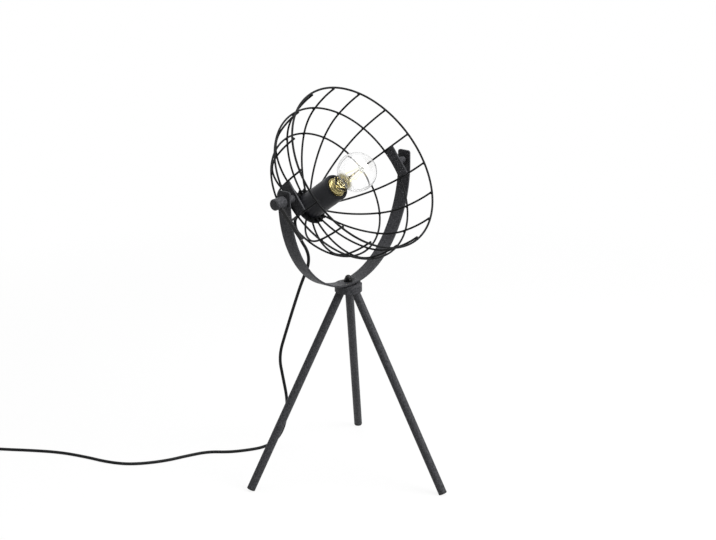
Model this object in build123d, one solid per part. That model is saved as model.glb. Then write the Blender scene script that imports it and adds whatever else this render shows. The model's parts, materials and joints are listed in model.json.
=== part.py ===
from build123d import *
from math import asin, atan2, cos, degrees, pi, radians, sin, sqrt, tan
import os

# Tabletop searchlight lamp: a wire bowl with a bare bulb, tilting in a strip-steel yoke that
# swivels on a tripod. Millimetres, +Z up. The origin is on the floor, on the swivel axis.
# The tilt axis is parallel to X, and the bowl looks towards -Y and upwards at rest.

# ---- clearances ----
RUN = 0.05             # between pieces that turn on each other
FIT = 0.05             # radial, between pieces that are pushed together and stay put

# ---- tripod ----
LEG_D = 13.2
LEG_WALL = 1.2
FOOT_RADIUS = 173.5    # a leg's centre line from the swivel axis, at the floor
APEX_RADIUS = 10.75    # the same at APEX_LEVEL
LEG_TURN = 3.8         # the tripod's turn about Z, away from one leg under the bowl
LEG_NAMES = {"front": -90.0, "right": 30.0, "left": 150.0}
CAP_LIP = 3.0          # the rubber cap beyond the tube
CAP_SPIGOT = 9.0       # the rubber cap inside the tube
CAP_WORN = 1.2         # how deep the floor cuts each tilted cap flat
CAP_ROUND = 0.8
HUB_TOP = 313.3
HUB_D = 42.4
HUB_H = 11.2
HUB_NECK_D = 11.0      # of the neck below, between the legs, for the bolt's head
HUB_NECK_L = 1.5
SOCKET_DROP = 6.3      # from the hub's top down to the end of a leg's centre line
APEX_DROP = 6.7        # and to where APEX_RADIUS is measured

# ---- swivel ----
BOLT_D = 6.0
BOLT_HEAD_AF = 10.0
BOLT_HEAD_H = 4.0
SWIVEL_WASHER_D = 16.0
SWIVEL_WASHER_T = 1.0
NUT_WASHER_D = 14.0
NUT_WASHER_T = 1.6
NUT_AF = 11.0
NUT_HEX_H = 3.0
NUT_BEVEL_BASE = 2.5   # of the bevel's cone beyond half NUT_AF, at the hexagon's foot
NUT_BEVEL_TOP = 0.3    # and at its top
NUT_DOME_D = 10.4
NUT_COLLAR_H = 0.4
NUT_CROWN_T = 2.5      # of the dome over the bolt's end
END_GAP = 0.3          # between a bolt's end and the bottom of its hole
STOP_RADIUS = 11.0     # from the swivel axis to the stop pin
STOP_D = 3.0
STOP_HEAD_D = 4.4
STOP_HEAD_H = 1.2
STOP_DEPTH = 2.2       # of the hub's arc groove
STOP_PLAY = 0.3        # round the pin in the groove
STOP_RANGE = 150.0     # swivel each way before the pin meets the end of its groove
HEAD_DOME = 0.7        # share of a low head's height that its dome takes

# ---- yoke ----
YOKE_T = 3.0
YOKE_W = 22.5
YOKE_CORNER = 4.0
YOKE_EDGE = 0.5
YOKE_GAP = 8.5         # between the rim and the arms
YOKE_DEEPER = 14.3     # the bend's depth, more than half its span
SIDE_FLATTER = 26.4    # the radius of its sides, more than half its span
PIVOT_RISE = 3.8       # the tilt axis above the top of the bend
ARM_OVER = 15.3        # the arms above the tilt axis
SPOT_FACE = 1.0        # of the flat round the nut's washer

# ---- wire bowl, in its own axes: Z out of its mouth, from the tilt axis ----
REST_TILT = 37.0       # degrees above level at rest
WIRE_D = 3.0
RIM_WIRE_D = 3.2
RIM_RADIUS = 134.1
RIM_Z = 41.7
MIDDLE_IN = 6.35       # the middle ring's radius, less than the rim's
INNER_IN = 29.2        # the same for the inner ring
INNER_RISE = 41.0      # from the disc's front face out to the inner ring
RIB_COUNT = 16
RIB_PROUD = 1.6        # rib ends beyond the rim's centre
RIB_DISC_ANGLE = 9.8   # degrees between a rib and the disc at its inner end
WELD = 0.25            # how far wires sink into each other where they are welded
DISC_T = 2.5
DISC_EDGE = 0.6
DISC_FRONT = -91.0
RIB_GAP = 1.1          # between the lampholder and a rib's inner end
RIB_HOLD = 6.5         # of a rib's inner end on the disc

# ---- tilt pivots ----
PLATE_T = 3.0
PLATE_W = 17.2
PLATE_OVER = 0.86      # of a plate beyond the middle of each rib that it crosses
PLATE_SHIFT = -0.2     # the plate's middle from its hole, towards the rim
PLATE_ROUND = 1.0
NECK_D = 8.0
BOSS_D = 11.0
PIVOT_BOLT_D = 5.0
PIVOT_BORE_DEPTH = 15.0
PIVOT_BORE_SPARE = 1.0 # of a boss's bore beyond its screw or stud
PIVOT_WASHER_D = 16.0
PIVOT_WASHER_T = 1.0
SCREW_WASHER_T = 1.5
SCREW_HEAD_D = 12.0
SCREW_HEAD_H = 3.0
SCREW_KEY_AF = 4.0
SCREW_KEY_DEPTH = 1.8
CLAMP_GAP = 0.3        # between the left boss's end and the knob
KNOB_D = 17.0
KNOB_L = 21.2
KNOB_CHAMFER = 1.4
KNOB_STUD_IN = 8.0     # the stud inside the knob
LEVER_T = 4.3
LEVER_W = 6.2
LEVER_OUT = 9.4        # from the knob's seat out to the lever
LEVER_REACH = 63.5     # from the tilt axis to the lever's tip
LEVER_IN = 5.0         # of the lever inside the knob, beyond the axis
LEVER_TURN = 6.0       # degrees from straight across the bowl, towards its mouth
LEVER_ROUND = 0.8

# ---- lampholder, along the bowl's axis ----
HOLDER_NARROWS = 1.15  # at the mouth, on the radius
HOLDER_WALL = 2.4
HOLDER_CAP_L = 29.5    # from the disc to the seam
HOLDER_SHELL_L = 37.5  # from the seam to the mouth
HOLDER_NOSE_L = 2.5    # of the shell, narrowing
SEAM_SPIGOT = 5.0      # how far the cap's spigot reaches into the shell
HOLDER_EDGE = 1.0
INSERT_WALL = 2.2
INSERT_FLOOR = 4.0
INSERT_RECESS = 2.0    # behind the mouth
INSERT_PLAY = 1.0      # round the screw shell
SCREW_SHELL_WALL = 0.5
SCREW_SHELL_L = 26.0
BASE_PLAY = 0.3        # round the bulb's base
CONTACT_W = 6.0
CONTACT_T = 0.6
CONTACT_L = 9.6        # of the strip behind the bulb's axis
CONTACT_BEND = 3.84    # and of its bend up to the bulb
NIPPLE_D = 10.0
NIPPLE_BORE = 6.4
NIPPLE_INSIDE = 7.0    # beyond the cap's floor
NIPPLE_BEHIND = 9.5    # behind the disc, inside the grip
CAP_FLOOR = 3.0
LOCKNUT_AF = 14.0
LOCKNUT_T = 3.5
GRIP_D = 13.0
GRIP_TIP_D = 8.0
GRIP_HEX_L = 3.5
GRIP_L = 22.0

# ---- bulb, E27 with a clear 60 mm globe ----
BULB_R = 30.0
BULB_GLASS_T = 0.8
BULB_NECK_L = 39.0     # from the base to the globe's centre
BULB_JOIN = -48.0      # degrees from level where the globe flows into its neck
BULB_BASE_R = 13.2
BULB_BASE_L = 24.0
BULB_BASE_OUT = 9.0    # of the base beyond the lampholder's mouth
BULB_BASE_T = 0.4
THREAD_PITCH = 3.6
THREAD_R = 0.9
THREAD_START = 0.8     # of a pitch before the first turn
BASE_CRIMP_H = 2.0     # the collar that grips the glass
BASE_CRIMP_T = 0.6
BULB_INSULATOR_L = 3.6
BULB_CONTACT_D = 9.5
BULB_CONTACT_T = 1.6
BULB_CONTACT_STEP = 0.4 # the contact's radius, less than the insulator's end
BULB_CONTACT_ROUND = 0.8
STEM_R = 4.5
STEM_TIP_R = 1.2
STEM_L = 34.0
STEM_WAIST_L = 18.7    # of the stem below its taper
FILAMENT_D = 1.8
FILAMENT_L = 26.0
FILAMENT_COUNT = 4
FILAMENT_SPREAD = 7.0
FILAMENT_TURN = 45.0   # degrees from the first stick to X
FILAMENT_LEAN = 12.0   # degrees in towards the bulb's axis at the top
FILAMENT_LIFT = 2.0    # the sticks' middle above the stem's end
FILAMENT_WIRE_D = 0.7

# ---- mains cord and what is on it ----
CORD_D = 5.0
ON_FLOOR = 0.05        # the switch, plug and coil above the floor
FLOOR_Z = CORD_D / 2 + ON_FLOOR
ARC_SHARE = 0.45       # of the shorter run that a bend takes at each end
SWITCH_L = 60.0
SWITCH_W = 24.0
SWITCH_H = 17.0
SWITCH_WALL = 1.8
SWITCH_CORNER = 7.0
SWITCH_BASE_ROUND = 1.5
SWITCH_COVER_ROUND = 3.0
SWITCH_NOSE_D = 9.0
SWITCH_NOSE_L = 12.0
SWITCH_NOSE_OUT = 8.0  # of each nose beyond the body
SWITCH_SCREW_D = 2.4
SWITCH_SCREW_HEAD_D = 4.4
SWITCH_SCREW_HEAD_H = 1.2
SWITCH_SCREW_SUNK = 0.3
SWITCH_SCREW_SHORT = 1.7 # of the cover's inside
SWITCH_POST_D = 5.4
SWITCH_POST_GAP = 0.3  # between a post and the walls
TERMINAL_L = 5.0
TERMINAL_W = 6.0
TERMINAL_X = 7.0       # of each terminal from the switch's middle
TERMINAL_RISE = 0.8    # of the terminals above the base's edge
ROCKER_L = 20.0
ROCKER_W = 11.0
ROCKER_PLAY_L = 0.5    # at each end of the rocker in its window
ROCKER_PLAY_W = 0.3    # at each side
ROCKER_SUNK = 3.2      # of its pivot below the cover's top
ROCKER_END_H = 3.2     # of its ends above the pivot
ROCKER_DISH_H = 2.2    # of its middle above the pivot
ROCKER_END_IN = 0.2    # the ends' slope, inwards at the top
ROCKER_WAIST_IN = 0.4  # and at the pivot's height
ROCKER_FOOT_L = 8.0
ROCKER_DEPTH = 2.6     # below the pivot
ROCKER_PIN_D = 3.0
ROCKER_PIN_OUT = 1.6   # of each pin beyond the rocker
ROCKER_THROW = 8.0     # degrees each side of level
EAR_L = 6.0            # of the cover's lugs that hold the rocker's pins
EAR_T = 2.4
EAR_GAP = 1.0          # between a lug and the base
COIL_MID_R = 27.5
COIL_TURNS = 3.85
COIL_ACROSS = 2        # turns side by side
COIL_HIGH = 2          # layers
COIL_CORNER = 0.45     # the coil's corners, as a share of the cord's diameter
PLUG_W = 35.0
PLUG_H = 13.7
PLUG_L = 24.0
PLUG_ROUND = 0.42      # the body's corners, as a share of its height
PLUG_WAIST_W = 21.7    # of the body where the nose starts
PLUG_WAIST_H = 11.64
PLUG_NOSE_D = 10.96
PLUG_NOSE_L = 26.0
PLUG_NOSE_WALL = 1.3   # round the cord at the nose's end
PLUG_SOCKET = 1.5      # depth of the socket the cord's end sits over
PLUG_PIN_D = 4.0
PLUG_PIN_L = 19.0
PLUG_PIN_PITCH = 18.6
PLUG_PIN_IN = 8.0
PLUG_PIN_ROUND = 1.6

# The cord's route, chosen by hand: out of the grip, down behind the yoke, and along the floor.
DROP_POINTS = [(0, 104, 401.4), (0, 105.5, 386.5), (0, 96, 367.5), (0, 80, 349), (0, 80, 327),
               (0, 95, 297), (0, 112, 254)]
CORD_MIDDLE = (0, 121, 230)      # where the upper and the lower length meet, on one straight run
FALL_POINTS = [(0, 130, 206), (0, 147, 159), (0, 137, 122), (0, 125, 89), (0, 128, 57),
               (-2, 138, 30), (-11, 149, 11)]
FLOOR_POINTS = [(-27, 161), (-52, 176), (-75, 195), (-93, 222), (-122, 238), (-164, 256),
                (-204, 290), (-220, 327), (-227, 368), (-240, 416), (-264, 461), (-288, 500)]
SWITCH_AT = (-354.0, 539.0)
SWITCH_TURN = 165.0    # degrees, the way the cord runs through the switch
SWITCH_LEAD = 20.0     # straight cord at each end of the switch
LINK_POINTS = [(-419, 542), (-429, 519)]
COIL_AT = (-386.0, 475.0)
COIL_ENTRY = 188.5     # degrees round the coil where the cord joins it
COIL_EXIT = 215.0      # and where it leaves
TAIL_POINTS = [(-406.7, 443.4), (-407.5, 427.4)]
PLUG_AT = (-440.9, 387.6)
PLUG_TURN = 230.0

# ---- worked-out places ----
BOSS_BOTTOM = HUB_TOP - HUB_H
BOLT_SEAT = BOSS_BOTTOM - HUB_NECK_L
SOCKET_TOP = HUB_TOP - SOCKET_DROP
APEX_LEVEL = HUB_TOP - APEX_DROP
LEG_RUN = FOOT_RADIUS - APEX_RADIUS
LEG_LEAN = degrees(atan2(LEG_RUN, APEX_LEVEL))
YOKE_FOOT = HUB_TOP + SWIVEL_WASHER_T + 2 * RUN          # the yoke's underside, on the axis
NUT_SEAT = YOKE_FOOT + YOKE_T + RUN
YOKE_RADIUS = RIM_RADIUS + RIM_WIRE_D / 2 + YOKE_GAP + YOKE_T / 2    # of the arms, mid-strip
BEND_Z = YOKE_FOOT + YOKE_T / 2 + YOKE_RADIUS + YOKE_DEEPER          # where the arms run straight
SIDE_R = YOKE_RADIUS + SIDE_FLATTER                      # the two side arcs and the foot arc are tangent
FOOT_ARC_R = YOKE_RADIUS + (SIDE_FLATTER + YOKE_DEEPER
                            - SIDE_FLATTER ** 2 / (SIDE_FLATTER - YOKE_DEEPER)) / 2
FOOT_ARC_Z = YOKE_FOOT + YOKE_T / 2 + FOOT_ARC_R
SIDE_TURN = degrees(atan2(BEND_Z - FOOT_ARC_Z, SIDE_FLATTER))        # of each side arc
PIVOT_Z = BEND_Z + PIVOT_RISE
ARM_INNER = YOKE_RADIUS - YOKE_T / 2
ARM_OUTER = YOKE_RADIUS + YOKE_T / 2
MIDDLE_RADIUS = RIM_RADIUS - MIDDLE_IN
INNER_RADIUS = RIM_RADIUS - INNER_IN
INNER_Z = DISC_FRONT + INNER_RISE
MIDDLE_Z = PLATE_SHIFT - PLATE_W / 2 - WIRE_D / 2 + WELD
RIB_INSIDE = WIRE_D - WELD                               # a rib's centre inside a ring's
RIB_ANGLES = [(k + 0.5) * 360 / RIB_COUNT for k in range(RIB_COUNT)]
PLATE_INNER = (MIDDLE_RADIUS - RIB_INSIDE + WIRE_D / 2) * cos(pi / RIB_COUNT) - WELD
PLATE_OUTER = PLATE_INNER + PLATE_T
PLATE_L = 2 * ((MIDDLE_RADIUS - RIB_INSIDE) * sin(pi / RIB_COUNT) + PLATE_OVER)
SHOULDER = ARM_INNER - PIVOT_WASHER_T - 2 * RUN          # where a boss steps down to its neck
KNOB_SEAT = ARM_OUTER + PIVOT_WASHER_T + 2 * RUN
CLAMP_END = KNOB_SEAT - CLAMP_GAP                        # of the left boss
LEVER_MIDDLE = KNOB_SEAT + LEVER_OUT + LEVER_T / 2
SCREW_SEAT = ARM_OUTER + SCREW_WASHER_T + 2 * RUN
DISC_BACK = DISC_FRONT - DISC_T
SCREW_SHELL_D = 2 * (BULB_BASE_R + BASE_PLAY + SCREW_SHELL_WALL)
INSERT_D = SCREW_SHELL_D + 2 * (INSERT_PLAY + INSERT_WALL)
HOLDER_MOUTH_D = INSERT_D + 2 * HOLDER_WALL
HOLDER_D = HOLDER_MOUTH_D + 2 * HOLDER_NARROWS
HOLDER_SEAM = DISC_FRONT + HOLDER_CAP_L
HOLDER_MOUTH = HOLDER_SEAM + HOLDER_SHELL_L
HOLDER_TAPER = HOLDER_MOUTH - HOLDER_NOSE_L
INSERT_FRONT = HOLDER_MOUTH - INSERT_RECESS
BULB_BASE_TOP = HOLDER_MOUTH + BULB_BASE_OUT
BULB_Z = BULB_BASE_TOP + BULB_NECK_L    # the globe's centre
BULB_NECK_R = BULB_BASE_R - BASE_CRIMP_T
RIB_START = HOLDER_D / 2 + RIB_GAP
DISC_R = RIB_START + RIB_HOLD
SWITCH_CORD_Z = ON_FLOOR + SWITCH_NOSE_D / 2
SWITCH_SPLIT = SWITCH_H / 2
PLUG_CORD_Z = FLOOR_Z + PLUG_NOSE_WALL
HEAD = Plane(origin=(0, 0, PIVOT_Z), x_dir=(1, 0, 0),
             z_dir=(0, -cos(radians(REST_TILT)), sin(radians(REST_TILT))))


# ---- helpers ----
def rod(radius, low, high):
    """A cylinder about Z between two heights."""
    return Pos(0, 0, low) * Cylinder(radius, high - low, align=(Align.CENTER, Align.CENTER, Align.MIN))


def ring(outer, inner, low, high):
    """A washer or tube about Z between two heights, from its radii."""
    return rod(outer, low, high) - rod(inner, low, high)


def cone(low_radius, high_radius, low, high):
    """A truncated cone about Z between two heights."""
    base = (Align.CENTER, Align.CENTER, Align.MIN)
    return Pos(0, 0, low) * Cone(low_radius, high_radius, high - low, align=base)


def hexagon(across_flats, low, high):
    """A hexagonal prism about Z between two heights."""
    face = RegularPolygon(across_flats / 2, 6, major_radius=False)
    return Pos(0, 0, low) * extrude(face, high - low)


def slab(x_size, y_size, low, high):
    """A box about Z between two heights."""
    base = (Align.CENTER, Align.CENTER, Align.MIN)
    return Pos(0, 0, low) * Box(x_size, y_size, high - low, align=base)


def turned(points):
    """A solid of revolution about Z from (radius, height) points, closed on the way back."""
    return revolve(Plane.XZ * make_face(Polyline(*points, close=True)), Axis.Z)


def along_x(shape, side):
    """Turn a shape built about Z on to the tilt axis of the bowl, pointing out of one side."""
    return Rot(0, 90 * side, 0) * shape


def in_bowl(shape):
    """Move a shape from the bowl's own axes to the lamp's."""
    return HEAD.location * shape


# ---- tripod ----
def leg_location(bearing):
    """Axes of a leg: origin on the floor, Z up the leg."""
    turn = radians(bearing + LEG_TURN)
    foot = Vector(FOOT_RADIUS * cos(turn), FOOT_RADIUS * sin(turn), 0)
    apex = Vector(APEX_RADIUS * cos(turn), APEX_RADIUS * sin(turn), APEX_LEVEL)
    return Plane(origin=foot, x_dir=(-sin(turn), cos(turn), 0), z_dir=apex - foot).location


def up_leg(height):
    """Length along a leg's centre line from the floor up to a height."""
    return height / cos(radians(LEG_LEAN))


CAP_BOTTOM = LEG_D / 2 * tan(radians(LEG_LEAN)) - CAP_WORN / cos(radians(LEG_LEAN))
LEG_BOTTOM = CAP_BOTTOM + CAP_LIP


def leg_tube(bearing):
    length = ring(LEG_D / 2, LEG_D / 2 - LEG_WALL, LEG_BOTTOM, up_leg(SOCKET_TOP))
    return leg_location(bearing) * length


def foot_cap(bearing):
    """A rubber cap with a spigot in the tube, worn flat where it stands on the floor."""
    cap = rod(LEG_D / 2, CAP_BOTTOM, LEG_BOTTOM)
    cap = fillet(cap.edges().group_by(Axis.Z)[0], CAP_ROUND)
    cap += rod(LEG_D / 2 - LEG_WALL - FIT, LEG_BOTTOM, LEG_BOTTOM + CAP_SPIGOT)
    below = Pos(0, 0, -2 * LEG_D) * slab(3 * FOOT_RADIUS, 3 * FOOT_RADIUS, 0, 2 * LEG_D)
    return leg_location(bearing) * cap - below


def stop_groove():
    """The arc in the hub's top that the stop pin runs in."""
    spare = degrees(4 * asin((STOP_D / 2 + STOP_PLAY) / 2 / STOP_RADIUS))
    half = STOP_RANGE + spare
    width = STOP_D + 2 * STOP_PLAY
    band = ring(STOP_RADIUS + width / 2, STOP_RADIUS - width / 2, HUB_TOP - STOP_DEPTH, HUB_TOP)
    closed = degrees(pi) - half
    reach = 2 * HUB_D
    wedge = make_face(Polyline((0, 0), (-reach, -reach * tan(radians(closed))),
                               (-reach, reach * tan(radians(closed))), close=True))
    return band - Pos(0, 0, HUB_TOP - STOP_DEPTH) * extrude(wedge, STOP_DEPTH)


def tripod_hub():
    """A thick disc with a neck, bored for the three legs and the bolt, and grooved for the pin."""
    hub = rod(HUB_D / 2, BOSS_BOTTOM, HUB_TOP) + rod(HUB_NECK_D / 2, BOLT_SEAT, BOSS_BOTTOM)
    for bearing in LEG_NAMES.values():
        hub -= leg_location(bearing) * rod(LEG_D / 2 + FIT, up_leg(BOLT_SEAT) - LEG_D,
                                           up_leg(SOCKET_TOP) + FIT)
    hub -= rod(BOLT_D / 2 + FIT, BOSS_BOTTOM - HUB_D, HUB_TOP)
    hub -= stop_groove()
    return hub


# ---- swivel ----
NUT_BASE = NUT_SEAT + NUT_WASHER_T
NUT_DOME_Z = NUT_BASE + NUT_HEX_H + NUT_COLLAR_H
NUT_TOP = NUT_DOME_Z + NUT_DOME_D / 2
BOLT_TOP = NUT_TOP - NUT_CROWN_T


def hub_bolt():
    head = hexagon(BOLT_HEAD_AF, BOLT_SEAT - BOLT_HEAD_H, BOLT_SEAT)
    return head + rod(BOLT_D / 2, BOLT_SEAT, BOLT_TOP)


def swivel_washer():
    return ring(SWIVEL_WASHER_D / 2, BOLT_D / 2 + FIT, HUB_TOP, HUB_TOP + SWIVEL_WASHER_T)


def nut_washer():
    return ring(NUT_WASHER_D / 2, BOLT_D / 2 + FIT, NUT_SEAT, NUT_BASE)


def cap_nut():
    """An acorn nut: a hexagon with a domed cap, threaded from below."""
    hex_part = hexagon(NUT_AF, NUT_BASE, NUT_BASE + NUT_HEX_H)
    hex_part = hex_part & cone(NUT_AF / 2 + NUT_BEVEL_BASE, NUT_AF / 2 + NUT_BEVEL_TOP, NUT_BASE,
                               NUT_BASE + NUT_HEX_H)
    collar = rod(NUT_DOME_D / 2, NUT_BASE + NUT_HEX_H, NUT_DOME_Z)
    dome = Pos(0, 0, NUT_DOME_Z) * Sphere(NUT_DOME_D / 2)
    dome = dome & rod(NUT_DOME_D, NUT_DOME_Z, NUT_TOP)
    return hex_part + collar + dome - rod(BOLT_D / 2 + FIT, NUT_BASE, BOLT_TOP + END_GAP)


def stop_pin():
    """A domed pin in the yoke whose end runs in the hub's groove."""
    top = FOOT_ARC_Z - sqrt((FOOT_ARC_R - YOKE_T / 2) ** 2 - (STOP_RADIUS + STOP_HEAD_D / 2) ** 2)
    pin = rod(STOP_D / 2, HUB_TOP - STOP_DEPTH + STOP_PLAY, top)
    head = rod(STOP_HEAD_D / 2, top, top + STOP_HEAD_H)
    head = fillet(head.edges().group_by(Axis.Z)[-1], STOP_HEAD_H * HEAD_DOME)
    return Pos(STOP_RADIUS, 0, 0) * (pin + head)


# ---- yoke ----
def yoke_bend(out):
    """The inside of the bend at a distance out from the strip's middle: two side arcs and a foot arc."""
    left = CenterArc((SIDE_FLATTER, BEND_Z), SIDE_R + out, 180, SIDE_TURN)
    foot = CenterArc((0, FOOT_ARC_Z), FOOT_ARC_R + out, 180 + SIDE_TURN, 180 - 2 * SIDE_TURN)
    right = CenterArc((-SIDE_FLATTER, BEND_Z), SIDE_R + out, -SIDE_TURN, SIDE_TURN)
    return make_face([left, foot, right, Line(right @ 1, left @ 0)])


def yoke():
    """One strip bent to a U, its arm ends rounded, drilled for the swivel, the pin and the pivots."""
    arm_top = PIVOT_Z + ARM_OVER
    profile = yoke_bend(YOKE_T / 2) - yoke_bend(-YOKE_T / 2)
    for side in (-1, 1):
        middle = (BEND_Z + arm_top) / 2
        profile += Pos(side * YOKE_RADIUS, middle) * Rectangle(YOKE_T, arm_top - BEND_Z)
    strip = extrude(Plane.XZ * profile, YOKE_W / 2, both=True)
    strip = fillet(strip.edges().filter_by(Axis.X).group_by(Axis.Z)[-1], YOKE_CORNER)
    side_faces = strip.faces().sort_by(Axis.Y)
    strip = fillet(side_faces[0].edges() + side_faces[-1].edges(), YOKE_EDGE)
    strip -= rod(BOLT_D / 2 + RUN, 0, BEND_Z)
    strip -= rod(NUT_WASHER_D / 2 + SPOT_FACE, YOKE_FOOT + YOKE_T, BEND_Z)
    strip -= Pos(STOP_RADIUS, 0, 0) * rod(STOP_D / 2, 0, BEND_Z)
    strip -= Pos(0, 0, PIVOT_Z) * Rot(0, 90, 0) * rod(NECK_D / 2 + RUN, -2 * YOKE_RADIUS, 2 * YOKE_RADIUS)
    return strip


# ---- tilt pivots: built about Z as an axle pointing out of the bowl, then turned on to X ----
def pivot_plate(side):
    """A flat plate across two ribs beside the middle ring, with a hole for its boss."""
    plate = Box(PLATE_T, PLATE_L, PLATE_W)
    plate = fillet(plate.edges().filter_by(Axis.X), PLATE_ROUND)
    plate = Pos(PLATE_INNER + PLATE_T / 2, 0, PLATE_SHIFT) * plate
    plate -= Rot(0, 90, 0) * rod(NECK_D / 2 + FIT, PLATE_INNER - PLATE_T, PLATE_OUTER + PLATE_T)
    return in_bowl(plate if side > 0 else mirror(plate, Plane.YZ))


def pivot_boss(side):
    """A turned boss on the plate: a spigot in the plate, a body, and the neck the yoke turns on."""
    end = CLAMP_END if side < 0 else ARM_OUTER + RUN
    boss = rod(NECK_D / 2, PLATE_INNER, PLATE_OUTER)
    boss += rod(BOSS_D / 2, PLATE_OUTER, SHOULDER)
    boss += rod(NECK_D / 2, SHOULDER, end)
    boss -= rod(PIVOT_BOLT_D / 2 + FIT, end - PIVOT_BORE_DEPTH, end)
    return in_bowl(along_x(boss, side))


def pivot_washer(side):
    washer = ring(PIVOT_WASHER_D / 2, NECK_D / 2 + FIT, SHOULDER + RUN, SHOULDER + RUN + PIVOT_WASHER_T)
    return in_bowl(along_x(washer, side))


def lever_washer():
    washer = ring(PIVOT_WASHER_D / 2, NECK_D / 2 + FIT, ARM_OUTER + RUN, ARM_OUTER + RUN + PIVOT_WASHER_T)
    return in_bowl(along_x(washer, -1))


def screw_washer():
    washer = ring(PIVOT_WASHER_D / 2, PIVOT_BOLT_D / 2 + FIT, ARM_OUTER + 2 * RUN, SCREW_SEAT)
    return in_bowl(along_x(washer, 1))


def pivot_screw():
    """A low domed screw that holds the yoke's right arm on its boss."""
    head = rod(SCREW_HEAD_D / 2, SCREW_SEAT, SCREW_SEAT + SCREW_HEAD_H)
    head = fillet(head.edges().group_by(Axis.Z)[-1], SCREW_HEAD_H * HEAD_DOME)
    head -= hexagon(SCREW_KEY_AF, SCREW_SEAT + SCREW_HEAD_H - SCREW_KEY_DEPTH, SCREW_SEAT + SCREW_HEAD_H)
    shank = rod(PIVOT_BOLT_D / 2, SCREW_SEAT - PIVOT_BORE_DEPTH + PIVOT_BORE_SPARE, SCREW_SEAT)
    return in_bowl(along_x(head + shank, 1))


def lever_bar(spare):
    """The lever's bar, grown all round by a small amount."""
    bar = Box(LEVER_T + 2 * spare, LEVER_REACH + LEVER_IN + 2 * spare, LEVER_W + 2 * spare)
    bar = fillet(bar.edges().filter_by(Axis.Y), LEVER_ROUND)
    bar = Pos(-LEVER_MIDDLE, (LEVER_IN - LEVER_REACH) / 2, 0) * bar
    return in_bowl(Rot(-LEVER_TURN, 0, 0) * bar)


def tilt_lever():
    """The clamp's handle: a flat bar held in the knob."""
    return lever_bar(0)


def tilt_knob():
    """A plain turned knob that clamps the left arm to its boss when the lever turns it."""
    body = rod(KNOB_D / 2, KNOB_SEAT, KNOB_SEAT + KNOB_L)
    body = chamfer(body.edges().group_by(Axis.Z)[-1], KNOB_CHAMFER)
    body = chamfer(body.edges().group_by(Axis.Z)[0], KNOB_CHAMFER / 2)
    body -= rod(PIVOT_BOLT_D / 2, KNOB_SEAT, KNOB_SEAT + KNOB_STUD_IN)
    return in_bowl(along_x(body, -1)) - lever_bar(FIT)


def tilt_knob_stud():
    low = CLAMP_END - PIVOT_BORE_DEPTH + PIVOT_BORE_SPARE
    stud = rod(PIVOT_BOLT_D / 2 - FIT, low, KNOB_SEAT) + rod(PIVOT_BOLT_D / 2, KNOB_SEAT,
                                                            KNOB_SEAT + KNOB_STUD_IN)
    return in_bowl(along_x(stud, -1))


# ---- wire bowl ----
def wire_ring(radius, height, wire):
    return in_bowl(Pos(0, 0, height) * Torus(radius, wire / 2))


def rib_path():
    """A rib's centre line: three tangent arcs from the disc, past both rings, to the rim."""
    slope = radians(RIB_DISC_ANGLE)
    start = (RIB_START, DISC_FRONT + WIRE_D / 2 - WELD)
    inner = (INNER_RADIUS - RIB_INSIDE * cos(radians(45)), INNER_Z + RIB_INSIDE * sin(radians(45)))
    middle = (MIDDLE_RADIUS - RIB_INSIDE, MIDDLE_Z)
    end = (RIM_RADIUS - (RIM_WIRE_D + WIRE_D) / 2 + WELD, RIM_Z + RIB_PROUD)
    first = TangentArc(start, inner, tangent=(cos(slope), sin(slope)))
    second = TangentArc(inner, middle, tangent=first % 1)
    third = TangentArc(middle, end, tangent=second % 1)
    return Plane.XZ * Wire([first, second, third])


def cage_ribs():
    path = rib_path()
    rib = sweep(Plane(origin=path @ 0, z_dir=path % 0) * Circle(WIRE_D / 2), path)
    return in_bowl(Compound(children=[Rot(0, 0, angle) * rib for angle in RIB_ANGLES]))


def cage_disc():
    disc = rod(DISC_R, DISC_BACK, DISC_FRONT)
    disc = fillet(disc.edges(), DISC_EDGE)
    return in_bowl(disc - rod(NIPPLE_D / 2 + FIT, DISC_BACK, DISC_FRONT))


# ---- lampholder ----
CAP_INSIDE = DISC_FRONT + CAP_FLOOR


def holder_cap():
    """The cup that the nipple holds to the disc, with a spigot for the shell."""
    cap = rod(HOLDER_D / 2, DISC_FRONT, HOLDER_SEAM)
    cap = chamfer(cap.edges().group_by(Axis.Z)[0], HOLDER_EDGE)
    cap += rod(HOLDER_D / 2 - HOLDER_WALL, HOLDER_SEAM, HOLDER_SEAM + SEAM_SPIGOT)
    cap -= rod(HOLDER_D / 2 - 2 * HOLDER_WALL, CAP_INSIDE, HOLDER_SEAM + SEAM_SPIGOT)
    return in_bowl(cap - rod(NIPPLE_D / 2 + FIT, DISC_FRONT, CAP_INSIDE))


def holder_shell():
    """The front shell, narrowing to the mouth."""
    outer = HOLDER_D / 2
    mouth = HOLDER_MOUTH_D / 2
    bore = INSERT_D / 2 + FIT
    spigot = outer - HOLDER_WALL + FIT
    points = [(spigot, HOLDER_SEAM), (outer, HOLDER_SEAM), (outer, HOLDER_TAPER),
              (mouth, HOLDER_MOUTH), (mouth - HOLDER_WALL, HOLDER_MOUTH), (bore, INSERT_FRONT),
              (bore, HOLDER_SEAM + SEAM_SPIGOT), (spigot, HOLDER_SEAM + SEAM_SPIGOT)]
    return in_bowl(turned(points))


INSERT_BACK = HOLDER_SEAM + SEAM_SPIGOT + RUN


def holder_insert():
    """The insulating cup that carries the screw shell and the contacts."""
    cup = rod(INSERT_D / 2, INSERT_BACK, INSERT_FRONT)
    cup -= rod(INSERT_D / 2 - INSERT_WALL, INSERT_BACK + INSERT_FLOOR, INSERT_FRONT)
    return in_bowl(cup - rod(CONTACT_W / 2, INSERT_BACK, INSERT_BACK + INSERT_FLOOR))


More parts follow.
